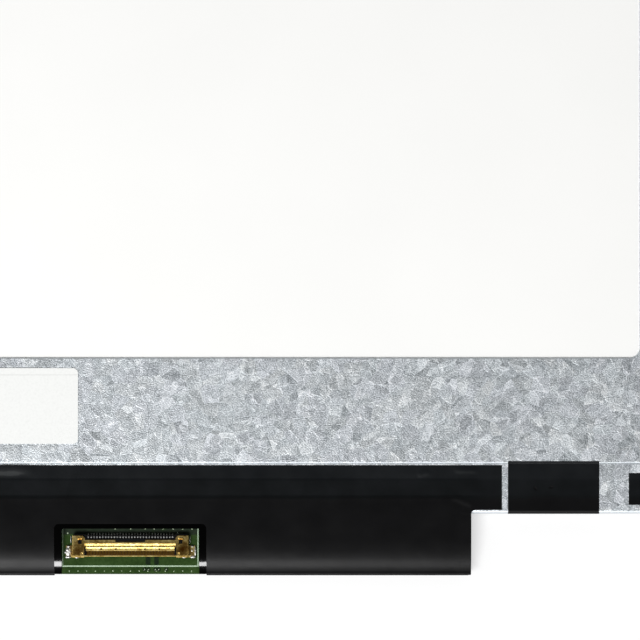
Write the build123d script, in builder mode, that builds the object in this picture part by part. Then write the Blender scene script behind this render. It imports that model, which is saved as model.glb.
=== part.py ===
from build123d import *
import os

os.makedirs("parts", exist_ok=True)

# A slim laptop screen panel, lying on its display face.
# The origin is the centre of the picture, on the outer face of the front polarizer.
# +X runs along the long side, +Y to the top edge of the picture and +Z out of the back.
# All sizes are in millimetres.

# Picture area, and the borders round it out to the edges of the steel frame
picture_width = 344.2
picture_height = 193.6
side_border = 7.65
top_border = 5.2
bottom_border = 14.5

# Thickness of each layer, from the display face to the back
front_polarizer_thickness = 0.2
filter_glass_thickness = 0.4
array_glass_thickness = 0.4
rear_polarizer_thickness = 0.18
rim_tape_thickness = 0.1
shelf_thickness = 0.25
sheet_play = 0.05
upper_diffuser_thickness = 0.1
prism_thickness = 0.14
lower_diffuser_thickness = 0.1
guide_thickness = 0.6
reflector_thickness = 0.2
steel_thickness = 0.3

# Display cell
polarizer_margin = 1.8
glass_margin = 2.0
driver_ledge = 4.6
glass_corner = 0.6

# Rear frame
ledge_depth = 8.52
joggle_run = 0.4
window_to_bottom = 26.79
side_rail = 4.4
top_rail = 4.0
window_corner = 1.7
window_edge_round = 0.22
bend_radius = 0.6
bend_pick = 0.1
corner_relief = 1.2
relief_width = 0.6
relief_depth = 0.8

# Middle frame and its catches in the walls of the rear frame
frame_fit = 0.1
wall_clearance = 0.05
glass_gap = 0.3
rim_setback = 0.15
rim_corner = 0.8
pocket_wall = 0.8
catch_length = 6.0
catch_height = 0.5
catch_depth = 0.28
catch_play = 0.2
side_catch_count = 3
side_catch_pitch = 62.0
top_catch_count = 6
top_catch_pitch = 60.0

# Backlight
guide_side_margin = 5.0
guide_top_margin = 3.0
guide_tuck = 0.2
guide_gap = 0.3
sheet_inset = 0.4
lamp_count = 40
lamp_end_margin = 9.4
lamp_length = 3.8
lamp_depth = 0.9
lamp_gap = 0.1
lamp_window_length = 3.0
lamp_window_height = 0.3
lamp_window_recess = 0.2
flex_thickness = 0.1
flex_side_margin = 1.0
tail_end_margin = 3.9
tail_width = 5.0
tail_play = 0.2
tail_reach = 0.3
tail_drop_run = 2.0
tail_pad = 2.2

# Control board and what stands on it
board_end_margin = 33.55
board_gap = 0.5
board_reach = 10.44
board_thickness = 0.8
board_corner = 0.6
part_edge_margin = 0.36
part_band = 4.5
part_clearance = 0.12
chip_corner = 0.15
chip_height = 0.85
controller_x = 12.0
controller_length = 7.0
controller_depth = 4.2
power_chip_x = -40.0
power_chip_size = 4.0
lamp_driver_x = -78.0
lamp_driver_size = 3.5
memory_x = 30.0
memory_length = 3.0
memory_depth = 4.0
inductor_x = -60.0
inductor_pitch = 8.0
inductor_count = 2
inductor_size = 4.0
inductor_height = 1.0
inductor_corner = 0.8
capacitor_x = -20.0
capacitor_pitch = 2.4
capacitor_columns = 8
capacitor_row_pitch = 1.8
capacitor_rows = 2
capacitor_length = 1.6
capacitor_width = 0.8
capacitor_height = 0.8
resistor_x = 50.0
resistor_pitch = 1.5
resistor_columns = 12
resistor_row_pitch = 1.6
resistor_rows = 2
resistor_length = 1.0
resistor_width = 0.5
resistor_height = 0.35

# Driver films between the glass and the board
driver_count = 4
driver_end_margin = 5.2
driver_width = 36.0
driver_film_thickness = 0.05
driver_bond = 1.8
driver_flat = 3.0
driver_chip_length = 18.0
driver_chip_width = 1.4
driver_chip_height = 0.3
driver_chip_gap = 0.8
driver_tape_thickness = 0.06
driver_tape_lap = 1.5
driver_tape_landing = 5.2
driver_tape_end = 1.6
driver_tape_setback = 0.6

# Video connector, with its mouth towards the lower edge of the board
connector_x = 87.9
connector_setback = 2.92
contact_count = 30
contact_pitch = 0.5
blade_width = 0.38
blade_end = 2.55
contact_width = 0.22
contact_thickness = 0.1
contact_tip = 0.5
contact_shoulder = 3.34
shoulder_level = 0.55
contact_heel = 3.62
contact_toe = 4.12
contact_play = 0.03
shell_thickness = 0.15
shell_level = 0.8
shell_half_length = 7.8
band_front = 1.13
band_width = 0.65
band_knee = 0.42
knee_level = 0.85
band_level = 0.91
groove_step = 0.07
groove_level = 0.84
groove_width = 0.2
ridge_width = 0.33
ridge_level = 0.92
ridge_fall = 0.1
shell_rear = 3.0
shell_notch_depth = 0.36
shell_notch_width = 5.14
shell_dot_diameter = 0.34
shell_dot_pitch = 2.5
ear_half_length = 10.0
ear_depth = 3.74
ear_hole = 0.64
ear_hole_x = 8.65
ear_hole_y = 2.66
ear_lip_length = 0.8
ear_lip_gap = 0.08
ear_lip_depth = 0.25
ear_lip_height = 0.06
ear_nip_length = 0.35
ear_nip_depth = 0.42
ear_slot_in = 0.2
ear_slot_out = 0.12
dimple_x = 8.34
dimple_y = 0.65
dimple_radius = 0.3
dimple_depth = 0.1
ear_bend = 0.2
leg_depth = 2.0
foot_length = 1.1
front_bar_start = 0.12
front_bar_depth = 0.15
front_bar_height = 0.3
housing_clearance = 0.05
housing_front = 0.32
housing_floor = 0.3
housing_wall = 2.6
housing_back = 3.5
comb_back = 3.84
comb_height = 0.45
slot_front = 3.28
bridge_front = 3.56
bridge_depth = 0.26
bridge_level = 0.68
end_block_length = 2.2
end_block_depth = 3.95
toe_solder_reach = 0.15
foot_solder_reach = 0.3

# Films and tapes on the back; a bend is two arcs, and its share is the part of the run in the first
even_share = 0.5
roll_share = 0.97
liner_thickness = 0.05
liner_top = 5.59
liner_window_width = 23.64
liner_window_top = 2.57
bond_strip_thickness = 0.09
bond_strip_low = 0.3
bond_strip_high = 2.43
bond_step = 0.9
cover_thickness = 0.07
cover_top = 8.3
cover_step = 0.6
cover_overlap = 0.28
cover_window_width = 26.16
cover_window_top = 1.75
cover_window_corner = 0.8
cover_lip = 0.41
cover_slack = 0.16
fold_bend = 0.15
cover_nip_length = 0.7
cover_nip_depth = 0.3
cover_wrap = 2.2
flap_length = 5.25
flap_low = 0.65
flap_slope = 1.6
small_tape_thickness = 0.06
lamp_end_tape_gap = 1.05
lamp_end_tape_width = 15.66
lamp_end_tape_lap = 0.09
lamp_end_tape_wrap = 0.5
corner_tape_margin = 0.83
corner_tape_width = 5.4
corner_tape_low = 1.53
corner_tape_height = 5.42
label_right = 78.96
label_length = 90.0
label_low = 12.02
label_height = 13.0
label_corner = 0.9
label_thickness = 0.1

# Levels of the layers above the display face
filter_level = front_polarizer_thickness
array_level = filter_level + filter_glass_thickness
cell_back = array_level + array_glass_thickness
shelf_level = cell_back + rim_tape_thickness
shelf_top = shelf_level + shelf_thickness
sheets_level = shelf_top + sheet_play
upper_prism_level = sheets_level + upper_diffuser_thickness
lower_prism_level = upper_prism_level + prism_thickness
lower_diffuser_level = lower_prism_level + prism_thickness
guide_level = lower_diffuser_level + lower_diffuser_thickness
reflector_level = guide_level + guide_thickness
plate_under = reflector_level + reflector_thickness
plate_back = plate_under + steel_thickness

# The ledge is pressed down by the thickness of the reflector, which ends above it
ledge_under = plate_under - reflector_thickness
ledge_back = ledge_under + steel_thickness
cover_level = ledge_back + bond_strip_thickness
tallest_part = max(inductor_height, chip_height, capacitor_height, resistor_height)
board_back = cover_level - part_clearance - tallest_part
board_front = board_back - board_thickness
wall_foot = shelf_level + wall_clearance

# Outlines, each with the origin at the centre of the picture
body_half_width = picture_width / 2 + side_border
body_top = picture_height / 2 + top_border
body_bottom = -picture_height / 2 - bottom_border
polarizer_half_width = picture_width / 2 + polarizer_margin
polarizer_half_height = picture_height / 2 + polarizer_margin
glass_half_width = polarizer_half_width + glass_margin
glass_half_height = polarizer_half_height + glass_margin
array_bottom = -glass_half_height - driver_ledge
guide_half_width = picture_width / 2 + guide_side_margin
guide_top = picture_height / 2 + guide_top_margin
ledge_end = body_bottom + ledge_depth
joggle_end = ledge_end + joggle_run
guide_bottom = ledge_end - guide_tuck
board_half_length = body_half_width - board_end_margin
board_top = body_bottom - board_gap
board_bottom = body_bottom - board_reach
part_row = board_top - part_edge_margin - part_band / 2
drop_start = part_row - part_band / 2
drop_end = board_bottom + cover_lip
mouth = board_bottom + connector_setback


def span(left, right, bottom, top, mode=Mode.ADD):
    """Rectangle between four edges, in the sketch that is open."""
    with Locations(((left + right) / 2, (bottom + top) / 2)):
        Rectangle(right - left, top - bottom, mode=mode)


def flat_sheet(half_width, bottom, top, level, thickness, corner=0):
    """Flat sheet on the centre line of the panel, with its corners nipped off where asked."""
    with BuildPart() as sheet:
        with BuildSketch(Plane.XY.offset(level)) as outline:
            span(-half_width, half_width, bottom, top)
            if corner:
                chamfer(outline.vertices(), corner)
        extrude(amount=thickness)
    return sheet


def draped_layer(stations, thickness, left, right):
    """Thin layer through (y, z) stations; where the level changes it bends in two arcs.

    A third value at a station is the share of the run before it that the first arc takes.
    """
    with BuildPart() as layer:
        with BuildSketch(Plane.YZ.offset(left)):
            with BuildLine():
                for lift in (0, thickness):
                    for (start_y, start_z, *_), (end_y, end_z, *share) in zip(stations, stations[1:]):
                        start = Vector(start_y, start_z + lift)
                        end = Vector(end_y, end_z + lift)
                        ahead = Vector(end_y - start_y, 0)
                        if start_z == end_z:
                            Line(start, end)
                        else:
                            knee = start + (end - start) * (share[0] if share else even_share)
                            TangentArc(start, knee, tangent=ahead)
                            TangentArc(end, knee, tangent=-ahead)
                for end_y, end_z in (stations[0], stations[-1]):
                    Line((end_y, end_z), (end_y, end_z + thickness))
            make_face()
        extrude(amount=right - left)
    return layer


def board_part(x, length, depth, height, corner):
    """Part with nipped corners, soldered on the row along the board."""
    with BuildPart() as part:
        with BuildSketch(Plane.XY.offset(board_back)) as outline:
            with Locations((x, part_row)):
                Rectangle(length, depth)
            chamfer(outline.vertices(), corner)
        extrude(amount=height)
    return part


# Display cell: two sheets of glass between two polarizers
front_polarizer = flat_sheet(
    polarizer_half_width, -polarizer_half_height, polarizer_half_height, 0, front_polarizer_thickness
)
front_polarizer.part.label = "front_polarizer"
export_step(front_polarizer.part, "parts/front_polarizer.step")

filter_glass = flat_sheet(
    glass_half_width,
    -glass_half_height,
    glass_half_height,
    filter_level,
    filter_glass_thickness,
    glass_corner,
)
filter_glass.part.label = "filter_glass"
export_step(filter_glass.part, "parts/filter_glass.step")

array_glass = flat_sheet(
    glass_half_width, array_bottom, glass_half_height, array_level, array_glass_thickness, glass_corner
)
array_glass.part.label = "array_glass"
export_step(array_glass.part, "parts/array_glass.step")

rear_polarizer = flat_sheet(
    polarizer_half_width, -polarizer_half_height, polarizer_half_height, cell_back, rear_polarizer_thickness
)
rear_polarizer.part.label = "rear_polarizer"
export_step(rear_polarizer.part, "parts/rear_polarizer.step")

# Black double-sided tape between the cell and the shelf of the middle frame
shelf_half_width = polarizer_half_width + glass_gap
shelf_half_height = polarizer_half_height + glass_gap

with BuildPart() as rim_tape:
    with BuildSketch(Plane.XY.offset(cell_back)):
        span(-glass_half_width, glass_half_width, array_bottom, glass_half_height)
        span(-shelf_half_width, shelf_half_width, -shelf_half_height, shelf_half_height, Mode.SUBTRACT)
    extrude(amount=rim_tape_thickness)
rim_tape.part.label = "rim_tape"
export_step(rim_tape.part, "parts/rim_tape.step")

# Middle frame: one moulding with a shelf, a pocket for the sheets and a rim round the glass
ring_half_width = body_half_width - steel_thickness - frame_fit
ring_top = body_top - steel_thickness - frame_fit
ring_bottom = body_bottom + steel_thickness + frame_fit
pocket_half_width = guide_half_width + guide_gap
pocket_bottom = ring_bottom + pocket_wall
pocket_top = guide_top + guide_gap
upper_wall_low = joggle_end + frame_fit
side_wall_low = joggle_end + relief_width
side_wall_high = body_top - corner_relief
inner_bend = bend_radius - steel_thickness
rebate_half_width = ring_half_width - inner_bend
glass_room = glass_half_width + glass_gap
catch_level = (wall_foot + ledge_under) / 2
side_catch_middle = (side_wall_low + side_wall_high) / 2
side_catch_rows = [
    side_catch_middle + (index - (side_catch_count - 1) / 2) * side_catch_pitch
    for index in range(side_catch_count)
]
top_catch_columns = [
    (index - (top_catch_count - 1) / 2) * top_catch_pitch for index in range(top_catch_count)
]
flex_under = ledge_under - flex_thickness
tail_right = board_half_length - tail_end_margin + tail_width / 2
tail_left = tail_right - tail_width

with BuildPart() as middle_frame:
    with BuildSketch(Plane.XY.offset(shelf_level)):
        span(-ring_half_width, ring_half_width, ring_bottom, ring_top)
    extrude(amount=plate_under - shelf_level)
    # Lower walls under the ledge of the rear frame
    with BuildSketch(Plane.XY.offset(ledge_under)):
        span(-ring_half_width, ring_half_width, ring_bottom, upper_wall_low)
    extrude(amount=plate_under - ledge_under, mode=Mode.SUBTRACT)
    # Rebate along the outer corners, clear of the bends of the rear frame
    with BuildSketch(Plane.XY.offset(plate_under - inner_bend)):
        span(-ring_half_width, ring_half_width, upper_wall_low, ring_top)
        span(-rebate_half_width, rebate_half_width, upper_wall_low, ring_top - inner_bend, Mode.SUBTRACT)
    extrude(amount=inner_bend, mode=Mode.SUBTRACT)
    with BuildSketch(Plane.XY.offset(ledge_under - inner_bend)):
        span(-ring_half_width, ring_half_width, ring_bottom, ring_bottom + inner_bend)
    extrude(amount=inner_bend, mode=Mode.SUBTRACT)
    # Opening inside the shelf, and the pocket for the light guide, the sheets and the lamps
    with BuildSketch(Plane.XY.offset(shelf_level)):
        span(-shelf_half_width, shelf_half_width, -shelf_half_height, shelf_half_height)
    extrude(amount=plate_under - shelf_level, mode=Mode.SUBTRACT)
    with BuildSketch(Plane.XY.offset(shelf_top)):
        span(-pocket_half_width, pocket_half_width, pocket_bottom, pocket_top)
    extrude(amount=plate_under - shelf_top, mode=Mode.SUBTRACT)
    # Rim round three sides of the glass, open towards the board
    with BuildSketch(Plane.XY.offset(rim_setback)) as rim:
        span(-body_half_width, body_half_width, ring_bottom, body_top)
        fillet(rim.vertices().group_by(Axis.Y)[-1], rim_corner)
        span(-glass_room, glass_room, ring_bottom, glass_half_height + glass_gap, Mode.SUBTRACT)
    extrude(amount=shelf_level - rim_setback)
    # Way out for the tail of the lamp strip
    with BuildSketch(Plane.XY.offset(flex_under - tail_play)):
        span(tail_left - tail_play, tail_right + tail_play, ring_bottom, pocket_bottom)
    extrude(amount=ledge_under - flex_under + tail_play, mode=Mode.SUBTRACT)
    # Sloped catches that snap into the side walls and the top wall
    with BuildSketch(*(Plane.XZ.offset(-row) for row in side_catch_rows)):
        with BuildLine():
            Polyline(
                (ring_half_width, catch_level - catch_height / 2),
                (ring_half_width + catch_depth, catch_level - catch_height / 2),
                (ring_half_width, catch_level + catch_height / 2),
                close=True,
            )
        make_face()
        mirror(about=Plane.YZ)
    extrude(amount=catch_length / 2, both=True)
    with BuildSketch(*(Plane.YZ.offset(column) for column in top_catch_columns)):
        with BuildLine():
            Polyline(
                (ring_top, catch_level - catch_height / 2),
                (ring_top + catch_depth, catch_level - catch_height / 2),
                (ring_top, catch_level + catch_height / 2),
                close=True,
            )
        make_face()
    extrude(amount=catch_length / 2, both=True)
middle_frame.part.label = "middle_frame"
export_step(middle_frame.part, "parts/middle_frame.step")

# Optical sheets on the light guide, each cut a little smaller than the guide
sheet_half_width = guide_half_width - sheet_inset
sheet_bottom = joggle_end
sheet_top = guide_top - sheet_inset

upper_diffuser = flat_sheet(
    sheet_half_width, sheet_bottom, sheet_top, sheets_level, upper_diffuser_thickness
)
upper_diffuser.part.label = "upper_diffuser"
export_step(upper_diffuser.part, "parts/upper_diffuser.step")

upper_prism_sheet = flat_sheet(
    sheet_half_width, sheet_bottom, sheet_top, upper_prism_level, prism_thickness
)
upper_prism_sheet.part.label = "upper_prism_sheet"
export_step(upper_prism_sheet.part, "parts/upper_prism_sheet.step")

lower_prism_sheet = flat_sheet(
    sheet_half_width, sheet_bottom, sheet_top, lower_prism_level, prism_thickness
)
lower_prism_sheet.part.label = "lower_prism_sheet"
export_step(lower_prism_sheet.part, "parts/lower_prism_sheet.step")

lower_diffuser = flat_sheet(
    sheet_half_width, sheet_bottom, sheet_top, lower_diffuser_level, lower_diffuser_thickness
)
lower_diffuser.part.label = "lower_diffuser"
export_step(lower_diffuser.part, "parts/lower_diffuser.step")

# Light guide, lit through its lower edge, and the white reflector behind it
light_guide = flat_sheet(guide_half_width, guide_bottom, guide_top, guide_level, guide_thickness)
light_guide.part.label = "light_guide"
export_step(light_guide.part, "parts/light_guide.step")

reflector_sheet = flat_sheet(
    guide_half_width, joggle_end + frame_fit, guide_top, reflector_level, reflector_thickness
)
reflector_sheet.part.label = "reflector_sheet"
export_step(reflector_sheet.part, "parts/reflector_sheet.step")

# Row of lamps facing the light guide, on a flex strip with a tail to the board
lamp_front = guide_bottom - lamp_gap
lamp_height = flex_under - guide_level
lamp_row_middle = lamp_front - lamp_depth / 2
lamp_pitch = 2 * (guide_half_width - lamp_end_margin) / (lamp_count - 1)
tail_start = body_bottom - tail_reach
tail_landing = tail_start - tail_drop_run

flex_tail = draped_layer(
    [
        (pocket_bottom + tail_play, flex_under),
        (tail_start, flex_under),
        (tail_landing, board_back),
        (tail_landing - tail_pad, board_back),
    ],
    flex_thickness,
    tail_left,
    tail_right,
)

with BuildPart() as led_flex:
    flex_half_width = guide_half_width - flex_side_margin
    with BuildSketch(Plane.XY.offset(flex_under)):
        span(-flex_half_width, flex_half_width, pocket_bottom + tail_play, lamp_front)
    extrude(amount=flex_thickness)
    add(flex_tail.part)
led_flex.part.label = "led_flex"
export_step(led_flex.part, "parts/led_flex.step")

with BuildPart() as led_chips:
    with Locations((0, lamp_row_middle, guide_level)):
        with GridLocations(lamp_pitch, 1, lamp_count, 1):
            Box(lamp_length, lamp_depth, lamp_height, align=(Align.CENTER, Align.CENTER, Align.MIN))
    with Locations((0, lamp_front, guide_level + lamp_height / 2)):
        with GridLocations(lamp_pitch, 1, lamp_count, 1):
            Box(
                lamp_window_length,
                lamp_window_recess,
                lamp_window_height,
                align=(Align.CENTER, Align.MAX, Align.CENTER),
                mode=Mode.SUBTRACT,
            )
led_chips.part.label = "led_chips"
export_step(led_chips.part, "parts/led_chips.step")

# Rear frame: one stamping of galvanised sheet, with a pressed ledge and four bent walls
window_half_width = body_half_width - side_rail
window_bottom = body_bottom + window_to_bottom
window_top = body_top - top_rail
wall_half_length = body_half_width - corner_relief

plate = draped_layer(
    [
        (body_bottom, ledge_under),
        (ledge_end, ledge_under),
        (joggle_end, plate_under),
        (body_top, plate_under),
    ],
    steel_thickness,
    -body_half_width,
    body_half_width,
)

with BuildPart() as rear_frame:
    add(plate.part)
    # Walls along the sides and the top, then the lower wall under the ledge
    with BuildSketch(Plane.XY.offset(wall_foot)):
        span(body_half_width - steel_thickness, body_half_width, side_wall_low, side_wall_high)
        span(-body_half_width, steel_thickness - body_half_width, side_wall_low, side_wall_high)
        span(-wall_half_length, wall_half_length, body_top - steel_thickness, body_top)
    extrude(amount=plate_under - wall_foot)
    with BuildSketch(Plane.XY.offset(wall_foot)):
        span(-wall_half_length, wall_half_length, body_bottom, body_bottom + steel_thickness)
    extrude(amount=ledge_under - wall_foot)
    # Relief cuts at the corners and where the side walls end beside the ledge
    with BuildSketch(Plane.XY.offset(ledge_under)):
        for inner, outer in ((wall_half_length, body_half_width), (-body_half_width, -wall_half_length)):
            span(inner, outer, side_wall_high, body_top)
            span(inner, outer, body_bottom, body_bottom + corner_relief)
        notch_start = body_half_width - relief_depth
        span(notch_start, body_half_width, joggle_end, side_wall_low)
        span(-body_half_width, -notch_start, joggle_end, side_wall_low)
    extrude(amount=plate_back - ledge_under, mode=Mode.SUBTRACT)
    # Bends, rounded outside and inside
    along_y = rear_frame.edges().filter_by(Axis.Y).filter_by(
        lambda edge: side_wall_low <= edge.center().Y <= side_wall_high
    )
    along_x = rear_frame.edges().filter_by(Axis.X)
    side_tops = along_y.group_by(Axis.Z)[-1].group_by(Axis.X)
    top_outer = along_x.group_by(Axis.Y)[-1].sort_by(Axis.Z)[-1]
    low_outer = along_x.group_by(Axis.Y)[0].sort_by(Axis.Z)[-1]
    fillet([*side_tops[0], *side_tops[-1], top_outer, low_outer], bend_radius)
    wall_inside = body_half_width - steel_thickness
    hidden_bends = rear_frame.edges().filter_by(
        lambda edge: abs(edge.center().Z - plate_under) < bend_pick
        and (
            abs(abs(edge.center().X) - wall_inside) < bend_pick
            or abs(edge.center().Y - body_top + steel_thickness) < bend_pick
        )
    )
    low_bend = rear_frame.edges().filter_by(Axis.X).filter_by(
        lambda edge: abs(edge.center().Z - ledge_under) < bend_pick
        and abs(edge.center().Y - body_bottom - steel_thickness) < bend_pick
    )
    fillet([*hidden_bends, *low_bend], inner_bend)
    # Window in the plate, with its upper edge rounded by the press
    with BuildSketch(Plane.XY.offset(plate_under)) as window:
        span(-window_half_width, window_half_width, window_bottom, window_top)
        fillet(window.vertices(), window_corner)
    extrude(amount=steel_thickness, mode=Mode.SUBTRACT)
    window_rim = rear_frame.faces().filter_by(Axis.Z).sort_by(Axis.Z)[-1].inner_wires()[0]
    fillet(window_rim.edges(), window_edge_round)
    # Slots for the catches of the middle frame
    with BuildSketch(Plane.YZ):
        with Locations(*((row, catch_level) for row in side_catch_rows)):
            Rectangle(catch_length + 2 * catch_play, catch_height + 2 * catch_play)
    extrude(amount=body_half_width, both=True, mode=Mode.SUBTRACT)
    with BuildSketch(Plane.XZ.offset(-body_top)):
        with Locations(*((column, catch_level) for column in top_catch_columns)):
            Rectangle(catch_length + 2 * catch_play, catch_height + 2 * catch_play)
    extrude(amount=steel_thickness, mode=Mode.SUBTRACT)
    # Gap in the lower wall for the tail of the lamp strip
    with BuildSketch(Plane.XY.offset(wall_foot)):
        span(tail_left - tail_play, tail_right + tail_play, body_bottom, body_bottom + bend_radius)
    extrude(amount=ledge_under - wall_foot, mode=Mode.SUBTRACT)
rear_frame.part.label = "rear_frame"
export_step(rear_frame.part, "parts/rear_frame.step")

# Films that carry the picture drivers from the ledge of the glass to the board
driver_start = array_bottom + driver_bond
driver_bend = array_bottom - driver_flat
driver_under = array_level - driver_film_thickness
driver_row = 2 * (board_half_length - driver_end_margin) - driver_width
driver_pitch = driver_row / (driver_count - 1)

driver_film = draped_layer(
    [
        (driver_start, driver_under),
        (driver_bend, driver_under),
        (board_top, board_front - driver_film_thickness),
        (board_top - driver_bond, board_front - driver_film_thickness),
    ],
    driver_film_thickness,
    -driver_width / 2,
    driver_width / 2,
)

with BuildPart() as driver_films:
    with GridLocations(driver_pitch, 1, driver_count, 1):
        add(driver_film.part)
driver_films.part.label = "driver_films"
export_step(driver_films.part, "parts/driver_films.step")

with BuildPart() as driver_chips:
    with Locations((0, array_bottom - driver_chip_gap, driver_under)):
        with GridLocations(driver_pitch, 1, driver_count, 1):
            Box(
                driver_chip_length,
                driver_chip_width,
                driver_chip_height,
                align=(Align.CENTER, Align.MAX, Align.MAX),
            )
driver_chips.part.label = "driver_chips"
export_step(driver_chips.part, "parts/driver_chips.step")

# Control board
with BuildPart() as control_board:
    with BuildSketch(Plane.XY.offset(board_front)) as board_outline:
        span(-board_half_length, board_half_length, board_bottom, board_top)
        chamfer(board_outline.vertices().group_by(Axis.Y)[0], board_corner)
    extrude(amount=board_thickness)
control_board.part.label = "control_board"
export_step(control_board.part, "parts/control_board.step")

# Chips in a row along the board
timing_controller = board_part(controller_x, controller_length, controller_depth, chip_height, chip_corner)
timing_controller.part.label = "timing_controller"
export_step(timing_controller.part, "parts/timing_controller.step")

power_chip = board_part(power_chip_x, power_chip_size, power_chip_size, chip_height, chip_corner)
power_chip.part.label = "power_chip"
export_step(power_chip.part, "parts/power_chip.step")

lamp_driver_chip = board_part(lamp_driver_x, lamp_driver_size, lamp_driver_size, chip_height, chip_corner)
lamp_driver_chip.part.label = "lamp_driver_chip"
export_step(lamp_driver_chip.part, "parts/lamp_driver_chip.step")

memory_chip = board_part(memory_x, memory_length, memory_depth, chip_height, chip_corner)
memory_chip.part.label = "memory_chip"
export_step(memory_chip.part, "parts/memory_chip.step")

# Coils and small parts, soldered in groups
with BuildPart() as power_inductors:
    with BuildSketch(Plane.XY.offset(board_back)):
        with Locations((inductor_x, part_row)):
            with GridLocations(inductor_pitch, 1, inductor_count, 1):
                RectangleRounded(inductor_size, inductor_size, inductor_corner)
    extrude(amount=inductor_height)
power_inductors.part.label = "power_inductors"
export_step(power_inductors.part, "parts/power_inductors.step")

with BuildPart() as board_capacitors:
    with BuildSketch(Plane.XY.offset(board_back)):
        with Locations((capacitor_x, part_row)):
            with GridLocations(capacitor_pitch, capacitor_row_pitch, capacitor_columns, capacitor_rows):
                Rectangle(capacitor_length, capacitor_width)
    extrude(amount=capacitor_height)
board_capacitors.part.label = "board_capacitors"
export_step(board_capacitors.part, "parts/board_capacitors.step")

with BuildPart() as board_resistors:
    with BuildSketch(Plane.XY.offset(board_back)):
        with Locations((resistor_x, part_row)):
            with GridLocations(resistor_pitch, resistor_row_pitch, resistor_columns, resistor_rows):
                Rectangle(resistor_length, resistor_width)
    extrude(amount=resistor_height)
board_resistors.part.label = "board_resistors"
export_step(board_resistors.part, "parts/board_resistors.step")

# Shell of the video connector: pressed cover plate, two ears with feet, and a bar under the mouth
band_end = band_front + band_width
groove_start = band_end + groove_step
groove_end = groove_start + groove_width
ridge_top = groove_end + ridge_width
cover_line = [
    (band_front, shell_level),
    (band_front + band_knee, knee_level),
    (band_end, band_level),
    (groove_start, groove_level),
    (groove_end, groove_level),
    (ridge_top, ridge_level),
    (ridge_top + ridge_fall, shell_level),
    (shell_rear, shell_level),
]
cover_plane = Plane(
    (connector_x - shell_half_length, mouth, board_back), x_dir=(0, 1, 0), z_dir=(1, 0, 0)
)
ear_plane = Plane((connector_x, mouth, board_back), x_dir=(1, 0, 0), z_dir=(0, -1, 0))
connector_middle = Plane((connector_x, mouth, board_back))
leg_inside = ear_half_length - shell_thickness
ear_top = board_back + shell_level + shell_thickness
lip_start = ear_hole_y + ear_hole / 2 + ear_lip_gap
lip_end = lip_start + ear_lip_depth

with BuildPart() as connector_shell:
    with BuildSketch(cover_plane):
        with BuildLine():
            Polyline(
                *cover_line,
                *((y, z + shell_thickness) for y, z in reversed(cover_line)),
                close=True,
            )
        make_face()
    extrude(amount=2 * shell_half_length)
    # Notch at the back of the cover, and a row of small holes in its front band
    with BuildSketch(connector_middle.offset(shell_level)):
        with Locations((0, shell_rear)):
            Rectangle(shell_notch_width, shell_notch_depth, align=(Align.CENTER, Align.MAX))
        for side in (-1, 1):
            with Locations((side * shell_dot_pitch, band_front + band_width / 2)):
                Circle(shell_dot_diameter / 2)
            with Locations((2 * side * shell_dot_pitch, band_front + band_width / 2)):
                Circle(shell_dot_diameter / 2)
    extrude(amount=band_level - shell_level + shell_thickness, mode=Mode.SUBTRACT)
    # Ears: a flat top, a leg and a foot that is soldered to the board
    for side in (-1, 1):
        with BuildSketch(ear_plane) as ear:
            with BuildLine():
                Polyline(
                    (side * shell_half_length, shell_level + shell_thickness),
                    (side * ear_half_length, shell_level + shell_thickness),
                    (side * ear_half_length, shell_thickness),
                    (side * (ear_half_length + foot_length), shell_thickness),
                    (side * (ear_half_length + foot_length), 0),
                    (side * leg_inside, 0),
                    (side * leg_inside, shell_level),
                    (side * shell_half_length, shell_level),
                    close=True,
                )
            make_face()
            top_corners = ear.vertices().group_by(Axis.Y)[-1]
            fillet(top_corners.sort_by(lambda corner: abs(corner.X))[-1], ear_bend)
        extrude(amount=-ear_depth)
        with BuildSketch(connector_middle):
            leg_span = sorted((side * leg_inside, side * (ear_half_length + foot_length)))
            span(*leg_span, leg_depth, ear_depth)
        extrude(amount=shell_level, mode=Mode.SUBTRACT)
        # Square hole and nipped inner corner of the ear
        with BuildSketch(connector_middle.offset(shell_level)):
            with Locations((side * ear_hole_x, ear_hole_y)):
                Rectangle(ear_hole, ear_hole)
            with BuildLine():
                Polyline(
                    (side * shell_half_length, ear_depth),
                    (side * (shell_half_length + ear_nip_length), ear_depth),
                    (side * shell_half_length, ear_depth - ear_nip_depth),
                    close=True,
                )
            make_face()
        extrude(amount=shell_thickness, mode=Mode.SUBTRACT)
        # Slot that frees the end of the band from the ear
        with BuildSketch(connector_middle.offset(shell_level)):
            slot_ends = (shell_half_length - ear_slot_in, shell_half_length + ear_slot_out)
            span(*sorted(side * end for end in slot_ends), 0, band_end)
        extrude(amount=band_level - shell_level + shell_thickness, mode=Mode.SUBTRACT)
        # Lip raised behind the hole, and a dimple at the front of the ear
        lip_left = connector_x + side * ear_hole_x - ear_lip_length / 2
        with BuildSketch(Plane((lip_left, mouth, ear_top), x_dir=(0, 1, 0), z_dir=(1, 0, 0))):
            with BuildLine():
                Polyline((lip_start, 0), (lip_end, 0), (lip_end, ear_lip_height), close=True)
            make_face()
        extrude(amount=ear_lip_length)
        dimple_middle = (connector_x + side * dimple_x, mouth + dimple_y)
        with Locations((*dimple_middle, ear_top + dimple_radius - dimple_depth)):
            Sphere(dimple_radius, mode=Mode.SUBTRACT)
    # Bar across the mouth, low enough for a plug to pass over it
    with BuildSketch(connector_middle):
        span(-leg_inside, leg_inside, front_bar_start, front_bar_start + front_bar_depth)
    extrude(amount=front_bar_height)
connector_shell.part.label = "connector_shell"
export_step(connector_shell.part, "parts/connector_shell.step")

# Moulded housing of the connector, slotted for the contacts
slot_width = contact_width + 2 * contact_play
housing_half_length = leg_inside - housing_clearance

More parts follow.
